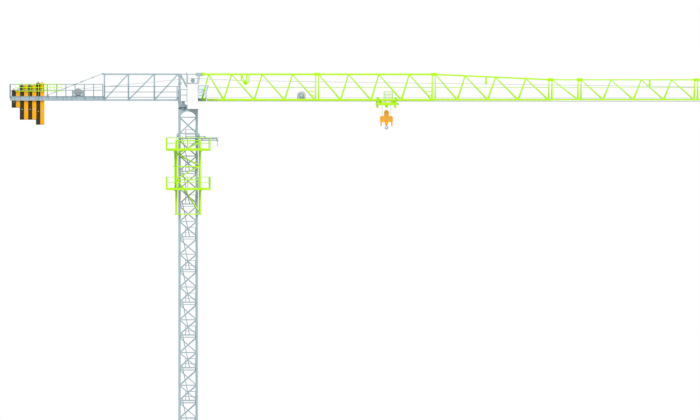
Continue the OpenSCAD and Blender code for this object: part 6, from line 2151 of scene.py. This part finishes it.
@dataclass
class Studio:
    """Pale floor, white background, soft light and the photo's camera.

    Args:
        lens: Focal length in millimetres.
        frame_w: Width of the picture at the crane, in metres.
        middle: What the picture's middle looks at.
        azimuth: How far the camera stands round the crane, in degrees.
    """

    lens: float = 600.0
    frame_w: float = 29.94
    middle: Point = (6.925, 0.0, 9.853)
    azimuth: float = -2.75

    def world(self) -> None:
        """Makes the background white to the eye and to gloss, and softer as a light."""
        world = bpy.data.worlds.new("soft_white_sky")
        bpy.context.scene.world = world
        world.use_nodes = True
        tree = world.node_tree
        tree.nodes.clear()
        path = add_node(tree, "LightPath")
        seen = path.outputs["Is Camera Ray"]
        for name in ("Is Glossy Ray", "Is Transmission Ray"):
            either = {0: seen, 1: path.outputs[name]}
            seen = add_node(tree, "Math", {"operation": "ADD", "use_clamp": True}, either).outputs["Value"]
        dimming = {"To Min": 0.65, "To Max": 1.0}
        strength = add_node(tree, "MapRange", dimming, {"Value": seen}).outputs["Result"]
        sky = add_node(tree, "Background", {"Color": (1, 1, 1, 1)}, {"Strength": strength})
        add_node(tree, "OutputWorld", {}, {"Surface": sky.outputs["Background"]})

    def floor(self) -> None:
        """Lays a pale floor that keeps a faint shadow."""
        floor = start(
            bpy.ops.mesh.primitive_plane_add, size=1, location=(7.5, 0, -2 * MM), scale=(80, 60, 1)
        )
        floor.name = floor.data.name = "studio_floor"
        material, tree = new_material("pale_studio_floor")
        path = add_node(tree, "LightPath")
        place = add_node(tree, "TexCoord").outputs["Object"]
        patches = {"Scale": 0.4, "Detail": 2.0}
        dust = add_node(tree, "TexNoise", patches, {"Vector": place}).outputs["Fac"]
        greys = {"data_type": "RGBA", MIX_A: (0.92, 0.92, 0.92, 1), MIX_B: (0.96, 0.96, 0.96, 1)}
        tint = add_node(tree, "Mix", greys, {0: dust}).outputs[MIX_RESULT]
        matt = add_node(tree, "BsdfDiffuse", {}, {"Color": tint}).outputs["BSDF"]
        white = {"Color": (1, 1, 1, 1), "Strength": 1.0}
        glow = add_node(tree, "Emission", white).outputs["Emission"]
        lit = {"operation": "MULTIPLY", 1: 0.62}
        share = add_node(tree, "Math", lit, {0: path.outputs["Is Camera Ray"]}).outputs["Value"]
        mixed = add_node(tree, "MixShader", {}, {0: share, 1: matt, 2: glow}).outputs["Shader"]
        add_node(tree, "OutputMaterial", {}, {"Surface": mixed})
        floor.data.materials.append(material)

    def sun(self, name: str, azimuth: float, elevation: float, strength: float, angle: float) -> None:
        """Adds one soft sun.

        Args:
            name: Its name.
            azimuth: Where it stands, in degrees from the viewer's side towards +X.
            elevation: Its height, in degrees.
            strength: Its strength.
            angle: Its apparent size, in degrees.
        """
        lamp = bpy.data.lights.new(name, "SUN")
        lamp.energy = strength
        lamp.angle = math.radians(angle)
        obj = bpy.data.objects.new(name, lamp)
        obj.rotation_euler = (math.radians(90 - elevation), 0, math.radians(azimuth))
        bpy.context.scene.collection.objects.link(obj)

    def camera(self) -> None:
        """Stands the camera far off, level with the photo's middle."""
        data = bpy.data.cameras.new("photo_camera")
        data.sensor_width = 36.0
        data.lens = self.lens
        data.clip_start = 1.0
        data.clip_end = 5000.0
        far = self.frame_w * self.lens / data.sensor_width
        turn = math.radians(self.azimuth)
        camera = bpy.data.objects.new("photo_camera", data)
        camera.location = Vector(self.middle) + Vector((math.sin(turn), -math.cos(turn), 0)) * far
        camera.rotation_euler = (math.pi / 2, 0, turn)
        bpy.context.scene.collection.objects.link(camera)
        bpy.context.scene.camera = camera

    def build(self) -> None:
        """Sets up everything round the crane."""
        self.world()
        self.floor()
        self.sun("key_sun", azimuth=-35.0, elevation=40.0, strength=1.9, angle=30.0)
        self.sun("fill_sun", azimuth=60.0, elevation=20.0, strength=0.35, angle=60.0)
        self.camera()
        bpy.context.scene.view_settings.view_transform = "Standard"


def main() -> None:
    """Builds the crane's sub-assemblies in order, then the studio round them."""
    logging.basicConfig(level=logging.INFO, format="%(name)s: %(message)s")
    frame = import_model()
    shop = Workshop(frame)
    assemblies = (
        MastFittings(shop),
        CageFittings(shop),
        TowerHeadFittings(shop),
        CabFittings(shop),
        CounterJibFittings(shop),
        JibFittings(shop),
        TrolleyFittings(shop),
    )
    for assembly in assemblies:
        assembly.build()
    shop.stock.clear()
    Studio().build()


if __name__ == "__main__":
    main()
